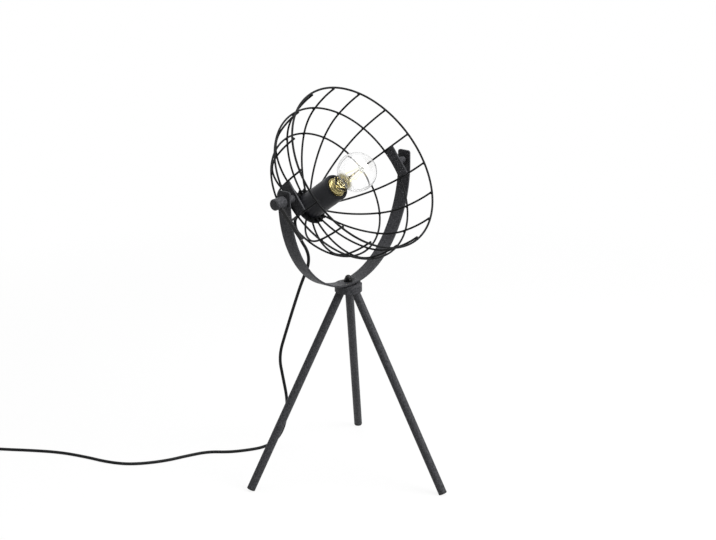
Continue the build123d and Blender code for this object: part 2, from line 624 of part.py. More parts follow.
SHELL_BACK = INSERT_BACK + INSERT_FLOOR
BASE_BACK = BULB_BASE_TOP - BULB_BASE_L
TIP_BACK = BASE_BACK - BULB_INSULATOR_L - BULB_CONTACT_T


def holder_screw_shell():
    """The brass shell that the bulb screws into, rolled out to the insert's bore at both ends."""
    shell = ring(SCREW_SHELL_D / 2, SCREW_SHELL_D / 2 - SCREW_SHELL_WALL, SHELL_BACK,
                 SHELL_BACK + SCREW_SHELL_L)
    for low in (SHELL_BACK, SHELL_BACK + SCREW_SHELL_L - SCREW_SHELL_WALL):
        shell += ring(INSERT_D / 2 - INSERT_WALL - FIT, SCREW_SHELL_D / 2 - SCREW_SHELL_WALL, low,
                      low + SCREW_SHELL_WALL)
    return in_bowl(shell)


def centre_contact():
    """A sprung strip that rises from the insert's floor to the bulb's tip."""
    rise = TIP_BACK - SHELL_BACK
    strip = Polyline((-CONTACT_L, SHELL_BACK + CONTACT_T / 2), (-CONTACT_BEND, SHELL_BACK + CONTACT_T / 2),
                     (-CONTACT_W / 4, SHELL_BACK + rise - CONTACT_T / 2 - RUN),
                     (CONTACT_W / 2, SHELL_BACK + rise - CONTACT_T / 2 - RUN))
    return in_bowl(extrude(Plane.XZ * trace(strip, CONTACT_T), CONTACT_W / 2, both=True))


def holder_nipple():
    """The threaded tube that clamps the disc and the cap, and lets the cord in."""
    return in_bowl(ring(NIPPLE_D / 2, NIPPLE_BORE / 2, DISC_BACK - NIPPLE_BEHIND,
                        CAP_INSIDE + NIPPLE_INSIDE))


def holder_locknut():
    nut = hexagon(LOCKNUT_AF, CAP_INSIDE, CAP_INSIDE + LOCKNUT_T) - rod(NIPPLE_D / 2 + FIT, CAP_INSIDE,
                                                                       CAP_INSIDE + LOCKNUT_T)
    return in_bowl(nut)


def cord_grip():
    """The tapered grip screwed on the nipple behind the disc; the cord leaves its tip."""
    tip = DISC_BACK - GRIP_L
    hex_end = DISC_BACK - GRIP_HEX_L
    body = hexagon(GRIP_D, hex_end, DISC_BACK)
    body += cone(GRIP_TIP_D / 2, GRIP_D / 2, tip, hex_end)
    body -= rod(NIPPLE_D / 2 + FIT, DISC_BACK - NIPPLE_BEHIND, DISC_BACK)
    body -= rod(CORD_D / 2, tip, DISC_BACK)
    return in_bowl(body)


# ---- bulb ----
def bulb_profile(gap):
    """Half of the globe's outline, moved in by gap: a sphere that flows into the neck."""
    globe = BULB_R - gap
    neck = BULB_NECK_R - gap
    join = radians(BULB_JOIN)
    halfway = radians((90 + BULB_JOIN) / 2)
    shoulder = (globe * cos(join), BULB_Z + globe * sin(join))
    top = (0, BULB_Z + globe)
    bottom = (neck, BULB_BASE_TOP)
    ball = ThreePointArc(top, (globe * cos(halfway), BULB_Z + globe * sin(halfway)), shoulder)
    throat = TangentArc(shoulder, bottom, tangent=ball % 1)
    return ball, throat, bottom, top


def bulb_shape(gap):
    ball, throat, bottom, top = bulb_profile(gap)
    floor = (0, bottom[1])
    face = make_face([ball, throat, Line(bottom, floor), Line(floor, top)])
    return revolve(Plane.XZ * face, Axis.Z)


def bulb_glass():
    return in_bowl(bulb_shape(0) - bulb_shape(BULB_GLASS_T))


def bulb_base():
    """The bulb's screw base: a thin shell with a rolled thread, crimped round the glass."""
    wall = BULB_BASE_R - THREAD_R
    crimp = BULB_BASE_TOP - BASE_CRIMP_H
    body = ring(wall, wall - BULB_BASE_T, BASE_BACK, crimp)
    for k in range(int(BULB_BASE_L / THREAD_PITCH) - 1):
        body += Pos(0, 0, BASE_BACK + THREAD_PITCH * (k + THREAD_START)) * Torus(wall, THREAD_R)
    body += ring(BULB_NECK_R + BASE_CRIMP_T, BULB_NECK_R, crimp, BULB_BASE_TOP)
    body += ring(BULB_NECK_R + BASE_CRIMP_T, wall - BULB_BASE_T, crimp - BASE_CRIMP_T, crimp)
    return in_bowl(body - rod(wall - BULB_BASE_T, BASE_BACK, crimp))


def bulb_insulator():
    low = BASE_BACK - BULB_INSULATOR_L
    return in_bowl(cone(BULB_CONTACT_D / 2, BULB_BASE_R - THREAD_R, low, BASE_BACK))


def bulb_contact():
    tip = rod(BULB_CONTACT_D / 2 - BULB_CONTACT_STEP, TIP_BACK, TIP_BACK + BULB_CONTACT_T)
    return in_bowl(fillet(tip.edges().group_by(Axis.Z)[0], BULB_CONTACT_ROUND))


STEM_TOP = BULB_BASE_TOP + STEM_L
STEM_WAIST = BULB_BASE_TOP + STEM_WAIST_L
FILAMENT_Z = STEM_TOP + FILAMENT_LIFT
FILAMENT_TOP = FILAMENT_Z + FILAMENT_L / 2 * cos(radians(FILAMENT_LEAN))


def stem_shape():
    stem = rod(BULB_NECK_R - BULB_GLASS_T, BULB_BASE_TOP - BASE_CRIMP_H, BULB_BASE_TOP)
    stem += rod(STEM_R, BULB_BASE_TOP, STEM_WAIST)
    return stem + cone(STEM_R, STEM_TIP_R, STEM_WAIST, STEM_TOP)


def bulb_stem():
    """The glass stem on the plug that closes the neck."""
    return in_bowl(stem_shape())


def filament_hook():
    """The wire on the stem's end, with the small plate that joins the sticks' upper ends."""
    reach = FILAMENT_SPREAD - FILAMENT_L / 2 * sin(radians(FILAMENT_LEAN)) + FILAMENT_D
    wire = rod(FILAMENT_WIRE_D / 2, STEM_TOP, FILAMENT_TOP)
    return in_bowl(wire + rod(reach, FILAMENT_TOP, FILAMENT_TOP + FILAMENT_WIRE_D))


def bulb_filaments():
    """Slim light sticks in a cone round the stem, each on a wire from it."""
    lean = radians(FILAMENT_LEAN)
    low = FILAMENT_Z - FILAMENT_L / 2 * cos(lean)
    foot = FILAMENT_SPREAD + FILAMENT_L / 2 * sin(lean)
    sticks = []
    for k in range(FILAMENT_COUNT):
        stick = Rot(0, -FILAMENT_LEAN, 0) * rod(FILAMENT_D / 2, -FILAMENT_L, FILAMENT_L)
        stick = Pos(FILAMENT_SPREAD, 0, FILAMENT_Z) * stick & rod(BULB_R, low, FILAMENT_TOP)
        wire = Pos(0, 0, low + FILAMENT_WIRE_D) * Rot(0, 90, 0) * rod(FILAMENT_WIRE_D / 2, 0, foot)
        sticks.append(Rot(0, 0, FILAMENT_TURN + 360 * k / FILAMENT_COUNT) * (stick + wire - stem_shape()))
    return in_bowl(Compound(children=sticks))


# ---- cord ----
def on_floor(points):
    return [Vector(x, y, FLOOR_Z) for x, y in points]


def bend_radii(points):
    """Each bend as large as its two runs allow."""
    radii = []
    for before, here, after in zip(points, points[1:], points[2:]):
        turn = (here - before).get_angle(after - here)
        run = min((here - before).length, (after - here).length)
        radii.append(ARC_SHARE * run / tan(radians(turn) / 2))
    return radii


def tube(points, radii, name):
    """A round tube along straight runs joined by tangent arcs."""
    path = FilletPolyline(*points, radius=radii)
    solid = sweep(Plane(origin=path @ 0, z_dir=path % 0) * Circle(CORD_D / 2), path)
    made = solid.volume / (pi * CORD_D ** 2 / 4 * path.length)
    print(f"{name}: {path.length:.0f} mm, volume ratio {made:.4f}, radii "
          + " ".join(f"{radius:.0f}" for radius in radii))
    return solid, path.length


def grip_tip():
    """The point where the cord leaves the grip."""
    return HEAD.from_local_coords(Vector(0, 0, DISC_BACK - GRIP_L))


def switch_end(side, lead=0.0):
    """The point where the cord meets one end of the switch, or a point further out."""
    turn = radians(SWITCH_TURN)
    reach = side * (SWITCH_L / 2 + lead)
    return Vector(SWITCH_AT[0] + reach * cos(turn), SWITCH_AT[1] + reach * sin(turn), SWITCH_CORD_Z)


def plug_end():
    """The point where the cord meets the plug."""
    turn = radians(PLUG_TURN)
    reach = PLUG_L / 2 + PLUG_NOSE_L
    return Vector(PLUG_AT[0] - reach * cos(turn), PLUG_AT[1] - reach * sin(turn), PLUG_CORD_Z)


def coil_side(angle):
    """The centre of a cord that lies against the coil's outside."""
    reach = COIL_MID_R + (COIL_ACROSS + 1) * CORD_D / 2 + FIT
    turn = radians(angle)
    return Vector(COIL_AT[0] + reach * cos(turn), COIL_AT[1] + reach * sin(turn), FLOOR_Z)


def hanging_cord():
    """The cord from the grip to the switch, as an upper and a lower length."""
    above = [grip_tip()] + [Vector(*point) for point in DROP_POINTS]
    below = [Vector(*point) for point in FALL_POINTS] + on_floor(FLOOR_POINTS)
    below += [switch_end(-1, SWITCH_LEAD), switch_end(-1)]
    middle = Vector(*CORD_MIDDLE)
    radii = bend_radii(above + below)
    upper = tube(above + [middle], radii[:len(DROP_POINTS)], "cord_upper")
    lower = tube([middle] + below, radii[len(DROP_POINTS):], "cord_lower")
    return upper, lower


def cord_coil():
    """The outer shape of the neat coil."""
    across = COIL_ACROSS * CORD_D
    high = COIL_HIGH * CORD_D
    section = Pos(COIL_MID_R, high / 2 + ON_FLOOR) * RectangleRounded(across, high, CORD_D * COIL_CORNER)
    return Pos(*COIL_AT, 0) * revolve(Plane.XZ * section, Axis.Z)


# ---- in-line switch, built about the origin with the cord along X ----
def place_switch(shape):
    return Pos(*SWITCH_AT, 0) * Rot(0, 0, SWITCH_TURN) * shape


POST_INSET = SWITCH_WALL + SWITCH_POST_GAP + SWITCH_POST_D / 2
SWITCH_SCREW_X = SWITCH_L / 2 - SWITCH_NOSE_OUT - POST_INSET
SWITCH_SCREW_Y = SWITCH_W / 2 - POST_INSET
SWITCH_SCREW_TOP = SWITCH_H - SWITCH_WALL - SWITCH_SCREW_SHORT
SWITCH_SCREWS = [(-SWITCH_SCREW_X, SWITCH_SCREW_Y), (SWITCH_SCREW_X, -SWITCH_SCREW_Y)]
SCREW_HEAD_TOP = ON_FLOOR + SWITCH_SCREW_SUNK + SWITCH_SCREW_HEAD_H
ROCKER_PIVOT = SWITCH_H - ROCKER_SUNK


def switch_outline(low, high, inset=0.0):
    """A long rounded body with a nose at each end."""
    length = SWITCH_L - 2 * SWITCH_NOSE_OUT - 2 * inset
    face = RectangleRounded(length, SWITCH_W - 2 * inset, SWITCH_CORNER - inset)
    return extrude(Pos(0, 0, low) * face, high - low)


def switch_nose(side):
    nose = Rot(0, 90 * side, 0) * rod(SWITCH_NOSE_D / 2, SWITCH_L / 2 - SWITCH_NOSE_L, SWITCH_L / 2)
    return Pos(0, 0, SWITCH_CORD_Z) * nose


def cord_bore():
    return Pos(0, 0, SWITCH_CORD_Z) * Rot(0, 90, 0) * rod(CORD_D / 2 + FIT, -SWITCH_L, SWITCH_L)


def switch_base():
    """The lower half, with the noses that grip the cord."""
    base = switch_outline(ON_FLOOR, SWITCH_SPLIT)
    base = fillet(base.edges().group_by(Axis.Z)[0], SWITCH_BASE_ROUND)
    for side in (-1, 1):
        base += switch_nose(side) & slab(2 * SWITCH_L, SWITCH_W, ON_FLOOR, SWITCH_SPLIT)
    base -= switch_outline(ON_FLOOR + SWITCH_WALL, SWITCH_SPLIT, SWITCH_WALL)
    base -= cord_bore()
    for x, y in SWITCH_SCREWS:
        base += Pos(x, y) * rod(SWITCH_POST_D / 2, ON_FLOOR + SWITCH_WALL, SWITCH_SPLIT)
        base -= Pos(x, y) * rod(SWITCH_SCREW_D / 2 + FIT, 0, SWITCH_SPLIT)
        base -= Pos(x, y) * rod(SWITCH_SCREW_HEAD_D / 2 + FIT, 0, SCREW_HEAD_TOP)
    return place_switch(base)


def switch_cover():
    """The upper half, with a window for the rocker."""
    cover = switch_outline(SWITCH_SPLIT + RUN, SWITCH_H)
    cover = fillet(cover.edges().group_by(Axis.Z)[-1], SWITCH_COVER_ROUND)
    cover -= switch_outline(SWITCH_SPLIT, SWITCH_H - SWITCH_WALL, SWITCH_WALL)
    cover -= slab(ROCKER_L + 2 * ROCKER_PLAY_L, ROCKER_W + 2 * ROCKER_PLAY_W, SWITCH_SPLIT, 2 * SWITCH_H)
    for side in (-1, 1):
        ear = slab(EAR_L, EAR_T, SWITCH_SPLIT + EAR_GAP, SWITCH_H - SWITCH_WALL)
        cover += Pos(0, side * (ROCKER_W / 2 + ROCKER_PLAY_W + EAR_T / 2), 0) * ear
    pin_reach = ROCKER_W / 2 + ROCKER_PIN_OUT + END_GAP
    pin_hole = rod(ROCKER_PIN_D / 2 + RUN, -pin_reach, pin_reach)
    cover -= Pos(0, 0, ROCKER_PIVOT) * Rot(90, 0, 0) * pin_hole
    for x, y in SWITCH_SCREWS:
        cover += Pos(x, y) * rod(SWITCH_POST_D / 2, SWITCH_SPLIT + RUN, SWITCH_H - SWITCH_WALL)
        cover -= Pos(x, y) * rod(SWITCH_SCREW_D / 2, SWITCH_SPLIT, SWITCH_SCREW_TOP + END_GAP)
    return place_switch(cover)


def switch_rocker():
    """The rocker, dished on top, on its own pins."""
    end = ROCKER_L / 2 - ROCKER_END_IN
    waist = ROCKER_L / 2 - ROCKER_WAIST_IN
    side_view = Polyline((-waist, 0), (-end, ROCKER_END_H), (0, ROCKER_DISH_H), (end, ROCKER_END_H),
                         (waist, 0), (ROCKER_FOOT_L / 2, -ROCKER_DEPTH), (-ROCKER_FOOT_L / 2, -ROCKER_DEPTH),
                         close=True)
    rocker = extrude(Plane.XZ * make_face(side_view), ROCKER_W / 2, both=True)
    pin_end = ROCKER_W / 2 + ROCKER_PIN_OUT
    rocker += Rot(90, 0, 0) * rod(ROCKER_PIN_D / 2, -pin_end, pin_end)
    return place_switch(Pos(0, 0, ROCKER_PIVOT) * Rot(0, ROCKER_THROW, 0) * rocker)


def switch_screws():
    """Two small screws that pull the halves together from below."""
    screws = []
    for x, y in SWITCH_SCREWS:
        screw = rod(SWITCH_SCREW_HEAD_D / 2, ON_FLOOR + SWITCH_SCREW_SUNK, SCREW_HEAD_TOP)
        screw += rod(SWITCH_SCREW_D / 2, SCREW_HEAD_TOP, SWITCH_SCREW_TOP)
        screws.append(Pos(x, y) * screw)
    return place_switch(Compound(children=screws))


def switch_contacts():
    """Two terminals on the base's floor that the rocker joins."""
    terminal = slab(TERMINAL_L, TERMINAL_W, ON_FLOOR + SWITCH_WALL, SWITCH_SPLIT + TERMINAL_RISE)
    terminals = [Pos(side * TERMINAL_X, 0, 0) * terminal for side in (-1, 1)]
    return place_switch(Compound(children=terminals))


# ---- plug, built with its pins along +X ----
def place_plug(shape):
    return Pos(*PLUG_AT, 0) * Rot(0, 0, PLUG_TURN) * shape


def plug_body():
    """A flat two-pin plug, tapering to the cord."""
    face = Plane.YZ * RectangleRounded(PLUG_W, PLUG_H, PLUG_H * PLUG_ROUND)
    waist = Plane.YZ * RectangleRounded(PLUG_WAIST_W, PLUG_WAIST_H, PLUG_WAIST_H * PLUG_ROUND)
    height = PLUG_H / 2 + ON_FLOOR
    body = loft([Pos(PLUG_L / 2, 0, height) * face, Pos(PLUG_L / 4, 0, height) * face])
    body += loft([Pos(PLUG_L / 4, 0, height) * face, Pos(-PLUG_L / 2, 0, height) * waist])
    nose_start = Pos(-PLUG_L / 2, 0, height) * (Plane.YZ * Circle(PLUG_NOSE_D / 2))
    nose_end = Plane.YZ * Circle(CORD_D / 2 + PLUG_NOSE_WALL)
    nose_end = Pos(-PLUG_L / 2 - PLUG_NOSE_L, 0, PLUG_CORD_Z) * nose_end
    body += loft([nose_start, nose_end])
    nose_tip = -PLUG_L / 2 - PLUG_NOSE_L
    body -= Pos(0, 0, PLUG_CORD_Z) * Rot(0, 90, 0) * rod(CORD_D / 2 + FIT, nose_tip - PLUG_SOCKET,
                                                        nose_tip + PLUG_SOCKET)
    for side in (-1, 1):
        body -= Pos(0, side * PLUG_PIN_PITCH / 2, height) * Rot(0, 90, 0) * rod(
            PLUG_PIN_D / 2, PLUG_L / 2 - PLUG_PIN_IN, PLUG_L)
    return place_plug(body)


def plug_pins():
    pins = []
    for side in (-1, 1):
        pin = rod(PLUG_PIN_D / 2, PLUG_L / 2 - PLUG_PIN_IN, PLUG_L / 2 + PLUG_PIN_L)
        pin = fillet(pin.edges().group_by(Axis.Z)[-1], PLUG_PIN_ROUND)
        pins.append(Pos(0, side * PLUG_PIN_PITCH / 2, PLUG_H / 2 + ON_FLOOR) * Rot(0, 90, 0) * pin)
    return place_plug(Compound(children=pins))


# ---- build ----
def all_parts():
    parts = {"tripod_hub": tripod_hub(), "hub_bolt": hub_bolt(), "swivel_washer": swivel_washer(),
             "nut_washer": nut_washer(), "cap_nut": cap_nut(), "yoke": yoke(), "stop_pin": stop_pin()}
    for name, bearing in LEG_NAMES.items():
        parts[f"leg_{name}"] = leg_tube(bearing)
        parts[f"foot_cap_{name}"] = foot_cap(bearing)
    for name, side in (("left", -1), ("right", 1)):
        parts[f"pivot_plate_{name}"] = pivot_plate(side)
        parts[f"pivot_boss_{name}"] = pivot_boss(side)
        parts[f"pivot_washer_{name}"] = pivot_washer(side)
    parts.update(lever_washer=lever_washer(), screw_washer=screw_washer(), pivot_screw=pivot_screw(),
                 tilt_lever=tilt_lever(), tilt_knob=tilt_knob(), tilt_knob_stud=tilt_knob_stud())
    parts["cage_rim"] = wire_ring(RIM_RADIUS, RIM_Z, RIM_WIRE_D)
    parts["cage_ring_middle"] = wire_ring(MIDDLE_RADIUS, MIDDLE_Z, WIRE_D)
    parts["cage_ring_inner"] = wire_ring(INNER_RADIUS, INNER_Z, WIRE_D)
    parts.update(cage_ribs=cage_ribs(), cage_disc=cage_disc())
    parts.update(holder_cap=holder_cap(), holder_shell=holder_shell(), holder_insert=holder_insert(),
                 holder_screw_shell=holder_screw_shell(), centre_contact=centre_contact(),
                 holder_nipple=holder_nipple(), holder_locknut=holder_locknut(), cord_grip=cord_grip())
    parts.update(bulb_glass=bulb_glass(), bulb_base=bulb_base(), bulb_insulator=bulb_insulator(),
                 bulb_contact=bulb_contact(), bulb_stem=bulb_stem(), bulb_filaments=bulb_filaments(),
                 filament_hook=filament_hook())
    (upper, upper_length), (lower, lower_length) = hanging_cord()
    link_route = [switch_end(1), switch_end(1, SWITCH_LEAD)] + on_floor(LINK_POINTS)
    link_route.append(coil_side(COIL_ENTRY))
    tail_route = [coil_side(COIL_EXIT)] + on_floor(TAIL_POINTS) + [plug_end()]
    link, link_length = tube(link_route, bend_radii(link_route), "cord_link")
    tail, tail_length = tube(tail_route, bend_radii(tail_route), "cord_tail")
    coil_length = COIL_TURNS * 2 * pi * COIL_MID_R
    total = upper_length + lower_length + SWITCH_L + link_length + coil_length + tail_length
    print(f"cord: {total:.0f} mm in all, {coil_length:.0f} mm of it in the coil")
    parts.update(cord_upper=upper, cord_lower=lower, cord_link=link, cord_tail=tail,
                 cord_coil=cord_coil())
    parts.update(switch_base=switch_base(), switch_cover=switch_cover(), switch_rocker=switch_rocker(),
                 switch_screws=switch_screws(), switch_contacts=switch_contacts(),
                 plug_body=plug_body(), plug_pins=plug_pins())
    return parts


def main():
    os.makedirs("parts", exist_ok=True)
    for name, shape in all_parts().items():
        export_step(shape, f"parts/{name}.step")


main()
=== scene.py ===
"""The looks of a tabletop searchlight lamp: an open wire bowl with a bare globe bulb, tilting in a
strip yoke that swivels on a tripod, with its mains cord, in-line switch and plug.

Sizes are in millimetres and are scaled to metres where a mesh, a light or the camera is made. The
frame is the lamp's own: the origin is on the table under the swivel axis, +Z is up, and the tilt
axis is parallel to X.
"""

import json
import math
import random

import bmesh
import bpy
from mathutils import Matrix, Vector


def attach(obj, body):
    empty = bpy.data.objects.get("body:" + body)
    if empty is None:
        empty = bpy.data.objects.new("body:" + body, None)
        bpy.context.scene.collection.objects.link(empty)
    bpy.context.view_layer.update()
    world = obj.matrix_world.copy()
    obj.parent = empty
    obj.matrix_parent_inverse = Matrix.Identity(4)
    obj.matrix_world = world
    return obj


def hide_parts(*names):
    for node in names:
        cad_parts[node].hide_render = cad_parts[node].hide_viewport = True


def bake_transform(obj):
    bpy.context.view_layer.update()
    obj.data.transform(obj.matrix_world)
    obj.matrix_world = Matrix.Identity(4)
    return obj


MM = 0.001
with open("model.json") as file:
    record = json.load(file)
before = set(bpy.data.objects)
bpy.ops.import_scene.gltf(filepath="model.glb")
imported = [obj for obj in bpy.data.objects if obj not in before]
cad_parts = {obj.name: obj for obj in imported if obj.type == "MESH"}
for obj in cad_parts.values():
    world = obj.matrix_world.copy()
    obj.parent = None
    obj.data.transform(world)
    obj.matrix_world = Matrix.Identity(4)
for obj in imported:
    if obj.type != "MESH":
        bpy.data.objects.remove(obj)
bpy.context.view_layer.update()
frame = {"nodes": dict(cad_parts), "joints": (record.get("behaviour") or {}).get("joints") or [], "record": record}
NODES = frame["nodes"]
JOINTS = {joint["name"]: joint for joint in frame["joints"]}

# ---- the bowl's own axes: Z out of its mouth, from the tilt axis ----
REST_TILT = math.radians(37.0)
PIVOT = Vector(JOINTS["tilt"]["pos_m"]) / MM
BOWL_OUT = Vector((0, -math.cos(REST_TILT), math.sin(REST_TILT)))
BOWL_UP = BOWL_OUT.cross(Vector((1, 0, 0)))
BOWL = Matrix((Vector((1, 0, 0)), BOWL_UP, BOWL_OUT)).transposed().to_4x4()
BOWL.translation = PIVOT

# ---- wire bowl ----
RIM_RADIUS = 134.1
RIM_Z = 41.7
RIM_WIRE_D = 3.2
WIRE_D = 3.0
WELD = 0.25            # how far crossing wires sink into each other
MIDDLE_RADIUS = 127.75
MIDDLE_Z = -10.05
INNER_RADIUS = 104.9
INNER_Z = -50.0
INNER_SLANT = math.radians(45)    # from level, the way from the inner ring's wire to the ribs
RIB_COUNT = 16
DISC_R = 28.35
DISC_FRONT = -91.0
DISC_BACK = -93.5
BEAD_ACROSS = 2.5      # half width of a weld between two wires
BEAD_THICK = 1.5       # and half its thickness, from one wire towards the other
BEAD_SPREAD = (0.9, 1.1)    # the smallest and the largest weld, as shares of that size
DISC_BEAD_IN = 1.6     # a weld on the disc: from the disc's edge to the weld's middle,
DISC_BEAD_RISE = 0.3   # its middle above the disc,
DISC_BEAD_L = (3.2, 4.0)    # half its length, least and most,
DISC_BEAD_W = (2.9, 3.4)    # half its width, least and most,
DISC_BEAD_H = 1.6      # and half its height

# ---- lampholder's cord grip, along the bowl's axis ----
GRIP_L = 22.0
GRIP_HEX_L = 3.5
GRIP_D = 13.0
GRIP_TIP_D = 8.0
GRIP_RINGS = 5
GRIP_GROOVE = 0.8
# a groove's outline, one in each ring: share of the ring's length, and of the groove's depth
GRIP_GROOVE_LINE = [(0.15, 0), (0.22, 1), (0.42, 1), (0.49, 0)]
GRIP_LIP = 0.6         # chamfer round the tip
GRIP_PLAIN = 1.2       # length of the tip before the first ring
GRIP_STEP = 0.4        # from the grip's wide end up to the hexagon
GRIP_HEX_ROUND = 0.35
CORD_BITE = 0.05       # how far the grip, and the coil's tie, press into the cord

# ---- bulb, along the bowl's axis ----
BULB_R = 30.0
BULB_Z = 24.0
BULB_GLASS_T = 0.8
BULB_JOIN = math.radians(-48)    # where the globe starts to flow into the neck
BULB_NECK_R = 12.6
BULB_BASE_R = 13.2
BULB_BASE_L = 24.0
BULB_BASE_TOP = -15.0
BASE_WALL = 0.4
NECK_FIT = 0.02        # between the glass neck and the collar round it
THREAD_PITCH = 3.6
THREAD_DEPTH = 1.3
THREAD_START = 1.0     # plain shell before the thread
THREAD_FADE = 2.0      # length over which the thread rises and runs out
THREAD_STOP = 0.6      # plain shell between the thread and the crimp, as a share of the pitch
THREAD_CREST = 0.8     # below 1 the rolled crest is broader than a plain wave
CRIMP_H = 2.0          # of the collar over the crimp
COLLAR_MOUTH = 0.1     # how far inside its top the collar meets the neck
COLLAR_TAPER = 1.0     # below the crimp, where the shell is at its full wall
# the collar's outline: in from the base's radius, and below the crimp or below the base's top
COLLAR_UNDER = [(1.1, 0.9), (0.3, 0.3), (0.0, -0.2)]
COLLAR_OVER = [(0.05, 0.3), (0.35, 0.0)]
STEM_L = 34.0
STEM_R = 2.6
STEM_FLARE_R = 10.5
STEM_FLARE_L = 12.0
STEM_FLARE_T = 1.0
STEM_FLARE_SLOPE = (-1.0, 0.35)    # the way the flare leaves its rim: inwards and up
PINCH_SHARE = 0.55     # of the stem's length, up to the pinch
PINCH_HALF = 5.0       # half the length of the pinch
PINCH_FLAT_HALF = 2.0  # and of its flat middle
PINCH_SWELL = 1.1      # share of the stem's radius there,
PINCH_WIDE = 0.9       # by how much more it spreads to the sides,
PINCH_THIN = 0.35      # and how much is pressed out of it from front and back
STEM_TOP_SHARE = 0.7   # share of the stem's radius above the pinch
# the stem's rounded tip: share of the stem's radius, and how far below its top
STEM_TIP = [(0.5, 3.0), (0.7, 1.2), (0.5, 0.2), (0.0, 0.0)]
STICK_COUNT = 4
STICK_D = 1.8
STICK_L = 26.0
STICK_SPREAD = 7.0     # from the stem's axis to a stick's middle
STICK_LEAN = math.radians(12)
FIRST_STICK = math.radians(45)
STICK_LIFT = 2.0       # the sticks' middle above the stem's end
STICK_BARE = 1.5       # of each stick's length, the bare wire at each end
LEAD_D = 0.6
LEAD_IN = 2.0          # how far a lead wire runs into its stick
LEAD_DROP = 4.0        # from a stick's foot down to where its wire leaves the stem
LEAD_SUNK = 0.9        # share of the stem's radius at which it leaves
NECK_CLEAR = -10.0     # where the neck's olive-brown tint starts to clear, and the painted glare starts
BALL_FROM = -5.0       # where the brown ends
GLOBE_LIT = 12.0       # where the painted glare is full
GLARE = 0.10           # strength of the painted glare, a glow of the glass itself, in the middle of the globe, for each wall of glass
GLARE_EDGE = 0.10      # how far the glass slants away, from 0 to 1, where the painted glare ends

# ---- mains cord ----
CORD_D = 5.0
FLOOR_Z = 2.55         # the cord's middle where it lies on the table
STACK_Z = FLOOR_Z + CORD_D    # and where it lies on another turn
DROP_POINTS = [(0, 104, 401.4), (0, 105, 386.5), (0, 95, 367.5), (0, 78.5, 349), (0, 78.5, 327),
               (0, 93.5, 297), (0, 110.5, 254)]
CORD_MIDDLE = (0, 119.5, 230)
FALL_POINTS = [(0, 128.5, 206), (0, 145.5, 159), (0, 137.5, 122), (0, 130, 89), (0, 132.5, 57),
               (-2, 139.5, 30), (-11, 149, 11)]
FLOOR_POINTS = [(-27, 161), (-52, 176), (-75, 195), (-93, 222), (-122, 238), (-164, 256),
                (-204, 290), (-220, 327), (-227, 368), (-240, 416), (-264, 461), (-288, 500)]
LINK_POINTS = [(-419, 542), (-429, 519)]
TAIL_POINTS = [(-406.7, 443.4, 6.0), (-407.5, 427.4, FLOOR_Z)]

# ---- in-line switch, which the cord runs through ----
SWITCH_AT = Vector((-354.0, 539.0, 4.55))
SWITCH_TURN = math.radians(165)
SWITCH_L = 60.0
SWITCH_LEAD = 20.0     # straight cord at each end of it

# ---- coil of spare cord, and its tie ----
COIL_AT = Vector((-386.0, 475.0, 0.0))
COIL_ENTRY = math.radians(188.5)
# its turns: how far round, in turns, the lane's radius, and the height of the cord's middle
COIL_LANES = [(0, 35.05, FLOOR_Z), (0.15, 30, FLOOR_Z), (1, 30, FLOOR_Z), (1.15, 25, FLOOR_Z),
              (2, 25, FLOOR_Z), (2.2, 25, STACK_Z), (3, 25, STACK_Z), (3.2, 30, STACK_Z),
              (4, 30, STACK_Z), (4.07, 34, STACK_Z)]
COIL_MID_R = 27.5      # between the two lanes
COIL_STRAY = 0.25      # how far a point of a turn strays in or out
TURN_POINTS = 14       # of the cord's line in one turn
TIE_ANGLE = math.radians(20)
TIE_Z = 5.15           # the middle of the four strands
TIE_W = 3.2
TIE_T = 0.45
TIE_SQUEEZE = 0.93     # how flat the tie pulls the strands
TIE_SQUARE = 0.75      # how square it lies round them: 0 is round, 1 is square
TIE_STEPS = 40
TIE_TAIL_D = 1.1
TIE_TAIL_TURNS = (0.0, 2.0, 4.5, 7.0)    # radians of twist at the bends of each loose end
TIE_TAIL_RUN = 0.9     # how far a radian of twist takes it,
TIE_TAIL_START = 0.5   # how far beside the middle it starts,
TIE_TAIL_SWAY = 1.5    # how far it sways to the side,
TIE_TAIL_LIFT = 0.5    # and how far up and down

# ---- plug ----
PLUG_AT = Vector((-440.9, 387.6, 6.9))
PLUG_TURN = math.radians(230)
PLUG_L = 24.0
PLUG_NOSE_L = 26.0
PLUG_CORD_Z = 3.85     # the cord's middle where it enters the nose
PLUG_PIN_D = 4.0
PLUG_PIN_PITCH = 18.6
PIN_SLEEVE_L = 10.0
PIN_SLEEVE_T = 0.06
PIN_SLEEVE_SUNK = 0.5  # its root inside the plug's face

# ---- studio ----
CAMERA_AT = Vector((-1876.1, -1485.0, 1147.4))
CAMERA_AZIMUTH = math.radians(-52.0)
CAMERA_ELEVATION = math.radians(18.75)
CAMERA_ROLL = math.radians(-0.61)
CAMERA_LENS = 82.77
LIGHT_AIM = (0, 0, 300)
KEY_AT = (450, -1700, 1700)
KEY_SIZE = 1300
KEY_WATTS = 56
TOP_AT = (0, 0, 2000)
TOP_SIZE = 1800
TOP_WATTS = 40
AMBIENT = 0.10         # strength of the soft grey light from all round
FLOOR_SHADE = 0.10     # how much of the lamp's shadow the camera sees on the white table
SHADE_REACH = 700.0    # from the lamp to where that starts to fade
TABLE_HALF = 12000.0
TABLE_GAP = 0.1        # between the feet and the table, so that no two faces coincide


# ---- materials: helpers ----
def srgb(colour, alpha=1.0):
    """A linear colour from an sRGB hex value such as "1d1e20"."""
    channels = [int(colour[k:k + 2], 16) / 255 for k in (0, 2, 4)]
    linear = [c / 12.92 if c <= 0.04045 else ((c + 0.055) / 1.055) ** 2.4 for c in channels]
    return (*linear, alpha)


